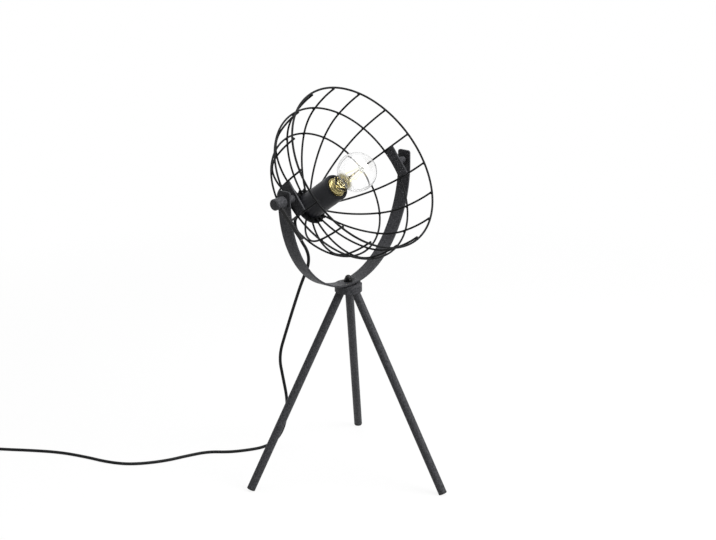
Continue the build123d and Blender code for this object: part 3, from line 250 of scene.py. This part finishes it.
def add(tree, kind, sockets=(), **settings):
    """A node with its settings. A socket is set to a value or linked to another node's output."""
    node = tree.nodes.new(kind)
    for name, value in settings.items():
        setattr(node, name, value)
    for socket, value in dict(sockets).items():
        if isinstance(value, bpy.types.NodeSocket):
            tree.links.new(value, node.inputs[socket])
        else:
            node.inputs[socket].default_value = value
    return node


def new_finish(name, colour, **constants):
    """A Principled material, with what is the same all over set on the shader's own sockets."""
    made = bpy.data.materials.new(name)
    made.use_nodes = True
    shader = made.node_tree.nodes["Principled BSDF"]
    shader.inputs["Base Color"].default_value = srgb(colour)
    made.diffuse_color = srgb(colour)
    for socket, value in constants.items():
        shader.inputs[socket.replace("_", " ")].default_value = value
    return made, made.node_tree, shader


def grain(tree, shader, size, depth, detail=3.0):
    """Fine relief all over the surface, of a size and depth in millimetres."""
    place = add(tree, "ShaderNodeTexCoord").outputs["Object"]
    relief = add(tree, "ShaderNodeTexNoise", {"Vector": place, "Scale": 1 / (size * MM),
                                              "Detail": detail})
    bumps = add(tree, "ShaderNodeBump", {"Height": relief.outputs["Fac"], "Distance": depth * MM})
    tree.links.new(bumps.outputs["Normal"], shader.inputs["Normal"])


def two_tone(tree, shader, size, first, second):
    """The base colour wanders between two hex colours over patches of a size in millimetres."""
    place = add(tree, "ShaderNodeTexCoord").outputs["Object"]
    patches = add(tree, "ShaderNodeTexNoise", {"Vector": place, "Scale": 1 / (size * MM),
                                               "Detail": 4.0})
    share = add(tree, "ShaderNodeMapRange", {"Value": patches.outputs["Fac"], "From Min": 0.35,
                                             "From Max": 0.65})
    mixed = add(tree, "ShaderNodeMix", {0: share.outputs["Result"], 6: srgb(first),
                                        7: srgb(second)}, data_type="RGBA")
    tree.links.new(mixed.outputs[2], shader.inputs["Base Color"])


def uneven_gloss(tree, shader, size, low, high):
    """The roughness wanders between two values over patches of a size in millimetres."""
    place = add(tree, "ShaderNodeTexCoord").outputs["Object"]
    patches = add(tree, "ShaderNodeTexNoise", {"Vector": place, "Scale": 1 / (size * MM)})
    rough = add(tree, "ShaderNodeMapRange", {"Value": patches.outputs["Fac"], "From Min": 0.3,
                                             "From Max": 0.7, "To Min": low, "To Max": high})
    tree.links.new(rough.outputs["Result"], shader.inputs["Roughness"])


# ---- materials: the lamp's finishes ----
def powder_coat(name, colour, second, coarse, sheen):
    """Black polyester powder coat on steel: satin, with the fine orange peel of the baked powder.
    The grains are drawn about twice as coarse as real ones, so that they show."""
    made, tree, shader = new_finish(name, colour, Specular_IOR_Level=sheen)
    two_tone(tree, shader, size=coarse, first=colour, second=second)
    uneven_gloss(tree, shader, size=9.0, low=0.42, high=0.55)
    grain(tree, shader, size=1.4, depth=0.05)
    return made


def black_oxide():
    """Blackened and oiled steel, on the bolt, its nut and washer, and the clamp's lever: darker
    than the powder coat, and glossier."""
    made, tree, shader = new_finish("black_oxide_steel", "0f0f10", Specular_IOR_Level=0.22)
    two_tone(tree, shader, size=4.0, first="0c0c0d", second="131314")
    uneven_gloss(tree, shader, size=3.0, low=0.2, high=0.32)
    grain(tree, shader, size=1.0, depth=0.01)
    return made


def moulded_black(name, colour, second, low, high):
    """Black moulded plastic: even and smooth, with a faint spark-eroded mould grain."""
    made, tree, shader = new_finish(name, colour, Specular_IOR_Level=0.2)
    two_tone(tree, shader, size=14.0, first=colour, second=second)
    uneven_gloss(tree, shader, size=11.0, low=low, high=high)
    grain(tree, shader, size=0.7, depth=0.012)
    return made


def foot_rubber():
    """Moulded rubber: matt, a little dusty towards grey."""
    made, tree, shader = new_finish("moulded_rubber", "1b1b1c", Specular_IOR_Level=0.35)
    two_tone(tree, shader, size=5.0, first="181819", second="252526")
    uneven_gloss(tree, shader, size=4.0, low=0.66, high=0.82)
    grain(tree, shader, size=0.9, depth=0.04)
    return made


def pvc_sheath():
    """Extruded PVC over the cord: smooth and softly shiny, with faint waves from the extruder."""
    made, tree, shader = new_finish("extruded_pvc", "0e0f10", Specular_IOR_Level=0.12)
    two_tone(tree, shader, size=20.0, first="0d0e0f", second="131416")
    uneven_gloss(tree, shader, size=16.0, low=0.36, high=0.48)
    grain(tree, shader, size=3.0, depth=0.03, detail=1.0)
    return made


def zinc_plate():
    """Zinc-plated steel: grey metal, cloudy from the plating bath."""
    made, tree, shader = new_finish("zinc_plate", "b4b6b4", Metallic=1.0)
    two_tone(tree, shader, size=1.8, first="a6a8a7", second="c3c5c2")
    uneven_gloss(tree, shader, size=1.2, low=0.30, high=0.46)
    return made


def drawn_brass():
    """Drawn brass sheet: pale yellow metal, dulled to olive in patches by heat and handling."""
    made, tree, shader = new_finish("drawn_brass", "b5a56d", Metallic=1.0)
    two_tone(tree, shader, size=1.6, first="d3c48c", second="6e6540")
    uneven_gloss(tree, shader, size=2.5, low=0.18, high=0.34)
    return made


def nickel_plate():
    """Nickel-plated brass pins: bright, with faint polishing haze."""
    made, tree, shader = new_finish("nickel_plate", "cfcbc2", Metallic=1.0)
    two_tone(tree, shader, size=2.0, first="d4d0c8", second="c2beb5")
    uneven_gloss(tree, shader, size=1.0, low=0.14, high=0.26)
    return made


def clear_glass(name, colour):
    """Blown soda-lime glass: clear and smooth, a little wavy."""
    made, tree, shader = new_finish(name, colour, Roughness=0.0, IOR=1.5, Transmission_Weight=1.0)
    grain(tree, shader, size=24.0, depth=0.15, detail=0.0)
    return made


def lit_globe():
    """The clear globe of a lit lamp: looked straight through, it carries a warm veil of painted glare, a glow of
    the glass itself, which thins towards its outline. The neck has none, and its glass is tinted olive-brown just
    above the base."""
    made = clear_glass("glass_with_painted_glare", "ffffff")
    tree = made.node_tree
    shader = tree.nodes["Principled BSDF"]
    # painted glare: the glass glows warm where it is seen face on, less towards its outline, and not at the neck
    shader.inputs["Emission Color"].default_value = srgb("fffaea")
    slant = add(tree, "ShaderNodeLayerWeight", {"Blend": 0.5})
    painted_glare = add(tree, "ShaderNodeMapRange", {"Value": slant.outputs["Facing"], "From Min": 0.0,
                                            "From Max": GLARE_EDGE, "To Min": GLARE,
                                            "To Max": 0.0})
    place = add(tree, "ShaderNodeTexCoord").outputs["Object"]
    from_pivot = add(tree, "ShaderNodeVectorMath", {0: place, 1: PIVOT * MM}, operation="SUBTRACT")
    out = add(tree, "ShaderNodeVectorMath", {0: from_pivot.outputs[0], 1: BOWL_OUT},
              operation="DOT_PRODUCT")
    ball = add(tree, "ShaderNodeMapRange", {"Value": out.outputs["Value"],
                                            "From Min": NECK_CLEAR * MM,
                                            "From Max": GLOBE_LIT * MM})
    both = add(tree, "ShaderNodeMath", {0: painted_glare.outputs["Result"], 1: ball.outputs["Result"]},
               operation="MULTIPLY")
    tree.links.new(both.outputs[0], shader.inputs["Emission Strength"])
    # the neck's glass is tinted olive-brown just above the base, clearing towards the globe
    tinted_neck = add(tree, "ShaderNodeMapRange", {"Value": out.outputs["Value"],
                                             "From Min": NECK_CLEAR * MM,
                                             "From Max": BALL_FROM * MM})
    tint = add(tree, "ShaderNodeMix", {0: tinted_neck.outputs["Result"], 6: srgb("948a5c"),
                                       7: srgb("ffffff")}, data_type="RGBA")
    tree.links.new(tint.outputs[2], shader.inputs["Base Color"])
    return made


def phosphor():
    """The yellow phosphor that coats each light stick, softly lit."""
    made, tree, shader = new_finish("phosphor_coat", "f0c23c", Roughness=0.6,
                                    Emission_Color=srgb("fff0b4"), Emission_Strength=1.3)
    two_tone(tree, shader, size=0.8, first="f2c540", second="e0ab2c")
    return made


POWDER_COAT = powder_coat("satin_powder_coat", "252628", "434346", coarse=2.2, sheen=0.12)
WIRE_COAT = powder_coat("powder_coat_on_wire", "0e0f10", "151617", coarse=3.0, sheen=0.08)
BLACK_OXIDE = black_oxide()
HOLDER_PLASTIC = moulded_black("phenolic_moulding", "141519", "1a1b20", low=0.34, high=0.46)
SWITCH_PLASTIC = moulded_black("abs_moulding", "1d1e20", "232426", low=0.34, high=0.46)
NYLON = moulded_black("moulded_nylon", "1c1c1e", "242426", low=0.42, high=0.55)
INSULATOR = moulded_black("phenolic_insulator", "0e0e0f", "151516", low=0.45, high=0.6)
RUBBER = foot_rubber()
SHEATH = pvc_sheath()
ZINC = zinc_plate()
BRASS = drawn_brass()
NICKEL = nickel_plate()
GLOBE_GLASS = lit_globe()
STEM_GLASS = clear_glass("stem_glass", "cfc69e")
PHOSPHOR = phosphor()
SLOT_FINISH = {"black_metal": POWDER_COAT, "zinc_steel": ZINC, "black_plastic": HOLDER_PLASTIC,
               "insulator": INSULATOR, "nylon": NYLON, "foot_rubber": RUBBER, "cord_sheath": SHEATH,
               "brass": BRASS, "plated_pins": NICKEL, "clear_glass": GLOBE_GLASS,
               "filament": PHOSPHOR}
# the pieces whose finish isn't their slot's
OWN_FINISH = [
    (SWITCH_PLASTIC, ("switch_base", "switch_cover", "switch_rocker", "plug_body")),
    (WIRE_COAT, ("cage_rim", "cage_ring_middle", "cage_ring_inner", "cage_ribs", "cage_disc")),
    (BLACK_OXIDE, ("hub_bolt", "nut_washer", "cap_nut", "tilt_lever"))]


def dress_cad_nodes():
    """Give each CAD node the finish of its material slot, or its own."""
    for part in frame["record"]["subparts"]:
        mesh = NODES[part["node"]].data
        mesh.materials.clear()
        mesh.materials.append(SLOT_FINISH[part["material_slot"]])
    for finish, names in OWN_FINISH:
        for name in names:
            NODES[name].data.materials[0] = finish


# ---- meshes: helpers ----
def lathe(form, profile, steps, shape=None):
    """Turn a closed ring of (radius, height) points about Z. shape, if given, alters a radius."""
    rings = []
    for radius, height in profile:
        ring = []
        for k in range(steps):
            angle = 2 * math.pi * k / steps
            reach = shape(angle, radius, height) if shape else radius
            ring.append(form.verts.new((reach * math.cos(angle), reach * math.sin(angle), height)))
        rings.append(ring)
    for lower, upper in zip(rings, rings[1:] + rings[:1]):
        for k in range(steps):
            here, following = k, (k + 1) % steps
            form.faces.new((lower[here], lower[following], upper[following], upper[here]))
    return form


def rod_between(form, start, end, diameter, steps=16):
    """A round rod between two points."""
    start, end = Vector(start), Vector(end)
    along = end - start
    turn = along.to_track_quat("Z", "Y").to_matrix().to_4x4()
    bmesh.ops.create_cone(form, cap_ends=True, segments=steps, radius1=diameter / 2,
                          radius2=diameter / 2, depth=along.length,
                          matrix=Matrix.Translation((start + end) / 2) @ turn)


def lump(form, place, sizes, detail=2):
    """A rounded lump with three half sizes."""
    bmesh.ops.create_icosphere(form, subdivisions=detail, radius=1.0,
                               matrix=place @ Matrix.Diagonal((*sizes, 1.0)))


def tangent_arc(start, direction, end, steps):
    """Points of the circular arc that leaves start along direction and reaches end."""
    start, end = Vector(start), Vector(end)
    normal = Vector((-direction[1], direction[0])).normalized()
    chord = end - start
    radius = chord.length_squared / (2 * normal.dot(chord))
    centre = start + normal * radius
    first = math.atan2(*(start - centre).yx)
    last = math.atan2(*(end - centre).yx)
    sweep = (last - first + math.pi) % (2 * math.pi) - math.pi
    angles = [first + sweep * k / steps for k in range(steps + 1)]
    return [(centre.x + abs(radius) * math.cos(a), centre.y + abs(radius) * math.sin(a))
            for a in angles]


def to_piece(name, form, finish, body, replaced=(), place=None, sharp=35):
    """Make a shaded piece from a mesh in millimetres, riding on a body of the lamp. Edges that
    turn by more than sharp degrees stay sharp."""
    bmesh.ops.remove_doubles(form, verts=form.verts, dist=0.0005)
    bmesh.ops.recalc_face_normals(form, faces=form.faces)
    mesh = bpy.data.meshes.new(name)
    form.to_mesh(mesh)
    form.free()
    mesh.transform(Matrix.Scale(MM, 4) @ (place or Matrix.Identity(4)))
    mesh.shade_smooth()
    mesh.set_sharp_from_angle(angle=math.radians(sharp))
    mesh.materials.append(finish)
    piece = bpy.data.objects.new(name, mesh)
    bpy.context.scene.collection.objects.link(piece)
    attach(piece, body)
    if replaced:
        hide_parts(*replaced)


# ---- wire bowl: welds ----
def cage_welds():
    """The beads where the ribs cross the rings, and where they lie on the disc."""
    shaker = random.Random(7)
    inside = WIRE_D - WELD
    rim_inside = (RIM_WIRE_D + WIRE_D) / 2 - WELD
    joins = [(RIM_RADIUS - rim_inside / 2, RIM_Z, 0.0),
             (MIDDLE_RADIUS - inside / 2, MIDDLE_Z, 0.0),
             (INNER_RADIUS - inside / 2 * math.cos(INNER_SLANT),
              INNER_Z + inside / 2 * math.sin(INNER_SLANT), INNER_SLANT)]
    form = bmesh.new()
    for k in range(RIB_COUNT):
        round_bowl = Matrix.Rotation((k + 0.5) * 2 * math.pi / RIB_COUNT, 4, "Z")
        for radius, height, slant in joins:
            crossing = Matrix.Translation((radius, 0, height)) @ Matrix.Rotation(slant, 4, "Y")
            wide, high = (BEAD_ACROSS * shaker.uniform(*BEAD_SPREAD) for _ in range(2))
            lump(form, round_bowl @ crossing, (BEAD_THICK, wide, high))
        on_disc = Matrix.Translation((DISC_R - DISC_BEAD_IN, 0, DISC_FRONT + DISC_BEAD_RISE))
        half_sizes = (shaker.uniform(*DISC_BEAD_L), shaker.uniform(*DISC_BEAD_W), DISC_BEAD_H)
        lump(form, round_bowl @ on_disc, half_sizes)
    to_piece("cage_welds", form, WIRE_COAT, "head", place=BOWL)


# ---- lampholder: ribbed grip where the cord leaves ----
def cord_grip():
    """A soft tapered grip with rings, behind a hexagon that screws on the nipple."""
    hex_end = DISC_BACK - GRIP_HEX_L
    tip = DISC_BACK - GRIP_L
    form = bmesh.new()
    bmesh.ops.create_cone(form, cap_ends=True, segments=6, radius1=GRIP_D / math.sqrt(3),
                          radius2=GRIP_D / math.sqrt(3), depth=GRIP_HEX_L,
                          matrix=Matrix.Translation((0, 0, DISC_BACK - GRIP_HEX_L / 2)))
    bmesh.ops.bevel(form, geom=list(form.edges), offset=GRIP_HEX_ROUND, segments=2, affect="EDGES")
    first_ring = tip + GRIP_PLAIN
    outline = [(GRIP_TIP_D / 2 - GRIP_LIP, tip), (GRIP_TIP_D / 2, tip + GRIP_LIP)]
    for k in range(GRIP_RINGS):
        for share, sunk in GRIP_GROOVE_LINE:
            rise = (k + share) / GRIP_RINGS
            radius = GRIP_TIP_D / 2 + (GRIP_D - GRIP_TIP_D) / 2 * rise
            height = first_ring + (hex_end - first_ring) * rise
            outline.append((radius - sunk * GRIP_GROOVE, height))
    bore = CORD_D / 2 - CORD_BITE
    outline += [(GRIP_D / 2 - GRIP_STEP, hex_end), (bore, hex_end), (bore, tip)]
    lathe(form, outline, 48)
    to_piece("ribbed_cord_grip", form, SWITCH_PLASTIC, "head",
             ["cord_grip"], BOWL, sharp=50)


# ---- bulb ----
def globe_outline(gap):
    """Half of the globe's outline from its neck to its top, moved in by gap."""
    globe = BULB_R - gap
    shoulder = Vector((globe * math.cos(BULB_JOIN), BULB_Z + globe * math.sin(BULB_JOIN)))
    down = (math.sin(BULB_JOIN), -math.cos(BULB_JOIN))
    throat = tangent_arc(shoulder, down, (BULB_NECK_R - gap, BULB_BASE_TOP), 14)
    ball = []
    steps = 40
    for k in range(1, steps + 1):
        angle = BULB_JOIN + (math.pi / 2 - BULB_JOIN) * k / steps
        ball.append((globe * math.cos(angle), BULB_Z + globe * math.sin(angle)))
    return throat[::-1] + ball


def bulb_globe():
    """The blown globe and its neck, of one wall."""
    form = lathe(bmesh.new(), globe_outline(0) + globe_outline(BULB_GLASS_T)[::-1], 96)
    to_piece("bulb_globe", form, GLOBE_GLASS, "head", ["bulb_glass"], BOWL,
             sharp=60)


def bulb_screw_base():
    """The brass shell with its rolled helical thread and the collar that grips the glass."""
    root = BULB_BASE_R - THREAD_DEPTH
    back = BULB_BASE_TOP - BULB_BASE_L
    crimp = BULB_BASE_TOP - CRIMP_H
    last_thread = crimp - THREAD_PITCH * THREAD_STOP

    def thread(angle, radius, height):
        if abs(radius - root) > 0.001:    # the collar and the inside have no thread
            return radius
        risen = (height - back - THREAD_START) / THREAD_FADE
        left = (last_thread - height) / THREAD_FADE
        fade = max(0.0, min(1.0, risen, left))
        wave = 0.5 + 0.5 * math.cos(2 * math.pi * (height - back) / THREAD_PITCH - angle)
        return radius + THREAD_DEPTH * wave ** THREAD_CREST * fade

    rows = 84
    outside = [(root, back + (last_thread - back) * k / rows) for k in range(rows + 1)]
    collar = [(BULB_BASE_R - inwards, crimp - below) for inwards, below in COLLAR_UNDER]
    collar += [(BULB_BASE_R - inwards, BULB_BASE_TOP - below) for inwards, below in COLLAR_OVER]
    round_neck = BULB_NECK_R + NECK_FIT
    inside = [(round_neck, BULB_BASE_TOP - COLLAR_MOUTH), (round_neck, crimp),
              (root - BASE_WALL, crimp - COLLAR_TAPER), (root - BASE_WALL, back)]
    form = lathe(bmesh.new(), outside + collar + inside, 96, thread)
    to_piece("bulb_screw_base", form, BRASS, "head", ["bulb_base"], BOWL, sharp=50)


def bulb_glass_stem():
    """The flared stem tube, pinched flat where the lead wires pass, with a rounded tip."""
    top = BULB_BASE_TOP + STEM_L
    pinch = BULB_BASE_TOP + STEM_L * PINCH_SHARE
    rim = BULB_BASE_TOP - STEM_FLARE_T

    def flat(angle, radius, height):
        share = max(0.0, 1 - abs(height - pinch) / PINCH_HALF)
        return radius * (1 + share * (PINCH_WIDE * abs(math.cos(angle)) - PINCH_THIN))

    flare = tangent_arc((STEM_FLARE_R, rim), STEM_FLARE_SLOPE,
                        (STEM_R, BULB_BASE_TOP + STEM_FLARE_L), 10)
    outline = [(0, rim - STEM_FLARE_T), (STEM_FLARE_R, rim - STEM_FLARE_T), *flare]
    outline += [(STEM_R, pinch - PINCH_HALF), (STEM_R * PINCH_SWELL, pinch - PINCH_FLAT_HALF),
                (STEM_R * PINCH_SWELL, pinch + PINCH_FLAT_HALF),
                (STEM_R * STEM_TOP_SHARE, pinch + PINCH_HALF)]
    outline += [(STEM_R * share, top - below) for share, below in STEM_TIP]
    form = lathe(bmesh.new(), outline, 48, flat)
    to_piece("bulb_glass_stem", form, STEM_GLASS, "head", ["bulb_stem"], BOWL,
             sharp=60)


def light_sticks():
    """Four phosphor-coated sticks in a cone round the stem, and the wires that carry them."""
    middle = BULB_BASE_TOP + STEM_L + STICK_LIFT
    half = Vector((-math.sin(STICK_LEAN), 0, math.cos(STICK_LEAN))) * STICK_L / 2
    sticks, wires = bmesh.new(), bmesh.new()
    for k in range(STICK_COUNT):
        turn = Matrix.Rotation(FIRST_STICK + 2 * math.pi * k / STICK_COUNT, 4, "Z")
        centre = Vector((STICK_SPREAD, 0, middle))
        foot, top = turn @ (centre - half), turn @ (centre + half)
        along = (top - foot).normalized()
        ends = (foot + along * STICK_BARE, top - along * STICK_BARE)
        rod_between(sticks, *ends, STICK_D)
        for end in ends:
            lump(sticks, Matrix.Translation(end), (STICK_D / 2,) * 3)
        rod_between(wires, foot, foot + along * LEAD_IN, LEAD_D)
        rod_between(wires, top, top - along * LEAD_IN, LEAD_D)
        knee = turn @ Vector((STEM_R * LEAD_SUNK, 0, foot.z - LEAD_DROP))
        rod_between(wires, knee, foot, LEAD_D)
        lump(wires, Matrix.Translation(foot), (LEAD_D / 2,) * 3)
    to_piece("light_stick_wires", wires, ZINC, "head", place=BOWL)
    to_piece("light_sticks", sticks, PHOSPHOR, "head", ["bulb_filaments"], BOWL)


# ---- cords ----
def along_switch(side, lead=0.0):
    """A point on the switch's long axis, on one side of it, a lead beyond its end."""
    reach = side * (SWITCH_L / 2 + lead)
    return SWITCH_AT + Vector((math.cos(SWITCH_TURN), math.sin(SWITCH_TURN), 0)) * reach


def coil_points():
    """The cord's line round the coil: two lanes low, then two lanes on top of them."""
    shaker = random.Random(11)
    inward = math.cos(math.pi / TURN_POINTS)    # the line cuts inside its points by this share
    points = []
    for step in range(int(COIL_LANES[-1][0] * TURN_POINTS) + 1):
        turn = step / TURN_POINTS
        lanes = [(here, following) for here, following in zip(COIL_LANES, COIL_LANES[1:])
                 if here[0] <= turn <= following[0]]
        (start, radius_a, height_a), (end, radius_b, height_b) = lanes[-1]
        share = (turn - start) / (end - start)
        share = share * share * (3 - 2 * share)
        radius = radius_a + (radius_b - radius_a) * share + shaker.uniform(-COIL_STRAY, COIL_STRAY)
        angle = COIL_ENTRY + 2 * math.pi * turn
        height = height_a + (height_b - height_a) * share
        points.append(COIL_AT + Vector((radius / inward * math.cos(angle),
                                        radius / inward * math.sin(angle), height)))
    return points


def plug_end():
    """Where the cord enters the nose behind the plug."""
    reach = PLUG_L / 2 + PLUG_NOSE_L
    end = PLUG_AT - Vector((math.cos(PLUG_TURN), math.sin(PLUG_TURN), 0)) * reach
    end.z = PLUG_CORD_Z
    return end


def cord_mesh(points, bevel=0.0):
    """The mesh of a curve of one NURBS spline of order 3 with those control points."""
    curve = bpy.data.curves.new("cord_route", "CURVE")
    curve.dimensions = "3D"
    curve.bevel_depth = bevel
    curve.bevel_resolution = 6
    curve.use_fill_caps = True
    spline = curve.splines.new("NURBS")
    spline.points.add(len(points) - 1)
    for control, point in zip(spline.points, points):
        control.co = (*(Vector(point) * MM), 1.0)
    spline.order_u = 3
    spline.use_endpoint_u = True
    spline.resolution_u = 8
    holder = bpy.data.objects.new("cord_route", curve)
    mesh = bpy.data.meshes.new_from_object(holder)
    bpy.data.objects.remove(holder)
    bpy.data.curves.remove(curve)
    return mesh


def cord_tube(name, points):
    """A round cord as a mesh, the points of its own line, and its length."""
    line = [vertex.co.copy() for vertex in cord_mesh(points).vertices]
    mesh = cord_mesh(points, CORD_D / 2 * MM)
    mesh.name = name
    mesh.shade_smooth()
    mesh.materials.clear()
    mesh.materials.append(SHEATH)
    piece = bpy.data.objects.new(name, mesh)
    bpy.context.scene.collection.objects.link(piece)
    length = sum((b - a).length for a, b in zip(line, line[1:]))
    return piece, line, length


def mains_cord():
    """The cord from the lampholder's grip over the switch and the coil to the plug."""
    grip_tip = BOWL @ Vector((0, 0, DISC_BACK - GRIP_L))
    upper_route = [grip_tip, *DROP_POINTS, CORD_MIDDLE]
    piece, line, length = cord_tube("hanging_cord", upper_route)
    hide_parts("cord_upper")
    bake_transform(piece)
    lower_route = [CORD_MIDDLE, *FALL_POINTS, *[(x, y, FLOOR_Z) for x, y in FLOOR_POINTS]]
    lower_route += [along_switch(-1, SWITCH_LEAD), along_switch(-1), along_switch(1)]
    lower_route += [along_switch(1, SWITCH_LEAD), *[(x, y, FLOOR_Z) for x, y in LINK_POINTS]]
    lower_route += [*coil_points(), *TAIL_POINTS, plug_end()]
    piece, line, length = cord_tube("mains_cord", lower_route)
    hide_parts("cord_lower", "cord_link", "cord_tail", "cord_coil")
    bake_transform(piece)


def coil_tie():
    """A plastic-coated wire tie pulled tight round the coil's four strands, twisted on top."""
    outwards = Vector((math.cos(TIE_ANGLE), math.sin(TIE_ANGLE), 0))
    middle = COIL_AT + outwards * COIL_MID_R + Vector((0, 0, TIE_Z))
    place = Matrix.Translation(middle) @ Matrix.Rotation(TIE_ANGLE, 4, "Z")
    form = bmesh.new()
    rows = []
    for k in range(TIE_STEPS):
        turn = 2 * math.pi * k / TIE_STEPS
        corner = 1 / max(abs(math.cos(turn)), abs(math.sin(turn))) ** TIE_SQUARE
        out = Vector((math.cos(turn), 0, math.sin(turn) * TIE_SQUEEZE)) * corner
        across = Vector((0, TIE_W / 2, 0))
        inner, outer = out * (CORD_D - CORD_BITE), out * (CORD_D + TIE_T)
        rows.append([form.verts.new(place @ p) for p in (inner - across, outer - across,
                                                         outer + across, inner + across)])
    for row, following in zip(rows, rows[1:] + rows[:1]):
        for k in range(4):
            form.faces.new((row[k], row[(k + 1) % 4], following[(k + 1) % 4], following[k]))
    for side in (-1, 1):
        tail = [place @ Vector((side * TIE_TAIL_RUN * twist,
                                side * (TIE_TAIL_START + TIE_TAIL_SWAY * math.sin(twist)),
                                CORD_D + TIE_TAIL_LIFT * math.sin(twist)))
                for twist in TIE_TAIL_TURNS]
        for start, end in zip(tail, tail[1:]):
            rod_between(form, start, end, TIE_TAIL_D, 10)
            lump(form, Matrix.Translation(end), (TIE_TAIL_D / 2,) * 3, 1)
    to_piece("coil_tie", form, NYLON, "tripod")


def pin_sleeves():
    """The insulating sleeves round the root of each plug pin."""
    form = bmesh.new()
    place = Matrix.Translation(PLUG_AT) @ Matrix.Rotation(PLUG_TURN, 4, "Z")
    for side in (-1, 1):
        root = place @ Vector((PLUG_L / 2 - PIN_SLEEVE_SUNK, side * PLUG_PIN_PITCH / 2, 0))
        end = place @ Vector((PLUG_L / 2 + PIN_SLEEVE_L, side * PLUG_PIN_PITCH / 2, 0))
        rod_between(form, root, end, PLUG_PIN_D + 2 * PIN_SLEEVE_T, 32)
    to_piece("pin_sleeves", form, SWITCH_PLASTIC, "tripod")


# ---- studio ----
def camera():
    """The camera, from its place, the way it looks and its roll."""
    back = Vector((math.sin(CAMERA_AZIMUTH) * math.cos(CAMERA_ELEVATION),
                   -math.cos(CAMERA_AZIMUTH) * math.cos(CAMERA_ELEVATION),
                   math.sin(CAMERA_ELEVATION)))
    right = Vector((math.cos(CAMERA_AZIMUTH), math.sin(CAMERA_AZIMUTH), 0))
    level = Matrix((right, back.cross(right), back)).transposed()
    place = (level @ Matrix.Rotation(CAMERA_ROLL, 3, "Z")).to_4x4()
    place.translation = CAMERA_AT * MM
    data = bpy.data.cameras.new("camera")
    data.lens = CAMERA_LENS
    made = bpy.data.objects.new("camera", data)
    made.matrix_world = place
    bpy.context.scene.collection.objects.link(made)
    bpy.context.scene.camera = made


def softbox(name, at, size, watts):
    """A square soft light that looks at the middle of the lamp."""
    data = bpy.data.lights.new(name, "AREA")
    data.shape = "SQUARE"
    data.size = size * MM
    data.energy = watts
    made = bpy.data.objects.new(name, data)
    made.location = Vector(at) * MM
    made.rotation_euler = (Vector(LIGHT_AIM) - Vector(at)).to_track_quat("-Z", "Y").to_euler()
    bpy.context.scene.collection.objects.link(made)


def seen_directly(tree):
    """1 for what the camera sees, also in a reflection and through glass, and 0 for light."""
    path = add(tree, "ShaderNodeLightPath")
    mirrored = add(tree, "ShaderNodeMath", {0: path.outputs["Is Camera Ray"],
                                            1: path.outputs["Is Glossy Ray"]}, operation="ADD")
    seen = add(tree, "ShaderNodeMath", {0: mirrored.outputs[0],
                                        1: path.outputs["Is Transmission Ray"]},
               operation="ADD", use_clamp=True)
    return seen.outputs[0]


def white_table():
    """A white table top. The camera sees it white, with the lamp's own soft shadow."""
    made, tree, shader = new_finish("white_table", "e8e8e8", Roughness=0.9)
    glow = add(tree, "ShaderNodeEmission", {"Color": (1, 1, 1, 1), "Strength": 1.0})
    place = add(tree, "ShaderNodeTexCoord").outputs["Object"]
    away = add(tree, "ShaderNodeVectorMath", {0: place}, operation="LENGTH")
    shade = add(tree, "ShaderNodeMapRange", {"Value": away.outputs["Value"],
                                             "From Min": SHADE_REACH * MM,
                                             "From Max": 2 * SHADE_REACH * MM,
                                             "To Min": FLOOR_SHADE, "To Max": 0.0})
    shown = add(tree, "ShaderNodeMixShader", {0: shade.outputs["Result"], 1: glow.outputs[0],
                                              2: shader.outputs[0]})
    both = add(tree, "ShaderNodeMixShader", {0: seen_directly(tree), 1: shader.outputs[0],
                                             2: shown.outputs[0]})
    output = tree.nodes["Material Output"]
    tree.links.new(both.outputs[0], output.inputs["Surface"])
    form = bmesh.new()
    bmesh.ops.create_grid(form, x_segments=2, y_segments=2, size=TABLE_HALF * MM)
    mesh = bpy.data.meshes.new("table_top")
    form.to_mesh(mesh)
    form.free()
    mesh.materials.append(made)
    table = bpy.data.objects.new("table_top", mesh)
    table.location.z = -TABLE_GAP * MM
    bpy.context.scene.collection.objects.link(table)


def white_world():
    """White where the camera, a reflection or glass looks past the lamp, and soft grey as light."""
    world = bpy.data.worlds.new("studio")
    world.use_nodes = True
    tree = world.node_tree
    tree.nodes.clear()
    ambient = add(tree, "ShaderNodeBackground", {"Color": (1, 1, 1, 1), "Strength": AMBIENT})
    white = add(tree, "ShaderNodeBackground", {"Color": (1, 1, 1, 1), "Strength": 1.0})
    both = add(tree, "ShaderNodeMixShader", {0: seen_directly(tree), 1: ambient.outputs[0],
                                             2: white.outputs[0]})
    output = add(tree, "ShaderNodeOutputWorld")
    tree.links.new(both.outputs[0], output.inputs["Surface"])
    bpy.context.scene.world = world


def studio():
    """The camera, the white table and background, and two soft lights."""
    camera()
    white_table()
    white_world()
    softbox("key_light", KEY_AT, KEY_SIZE, KEY_WATTS)
    softbox("top_light", TOP_AT, TOP_SIZE, TOP_WATTS)
    bpy.context.scene.view_settings.view_transform = "Standard"


# ---- build ----
dress_cad_nodes()
cage_welds()
cord_grip()
bulb_globe()
bulb_screw_base()
bulb_glass_stem()
light_sticks()
coil_tie()
pin_sleeves()
mains_cord()
studio()

bpy.context.view_layer.update()
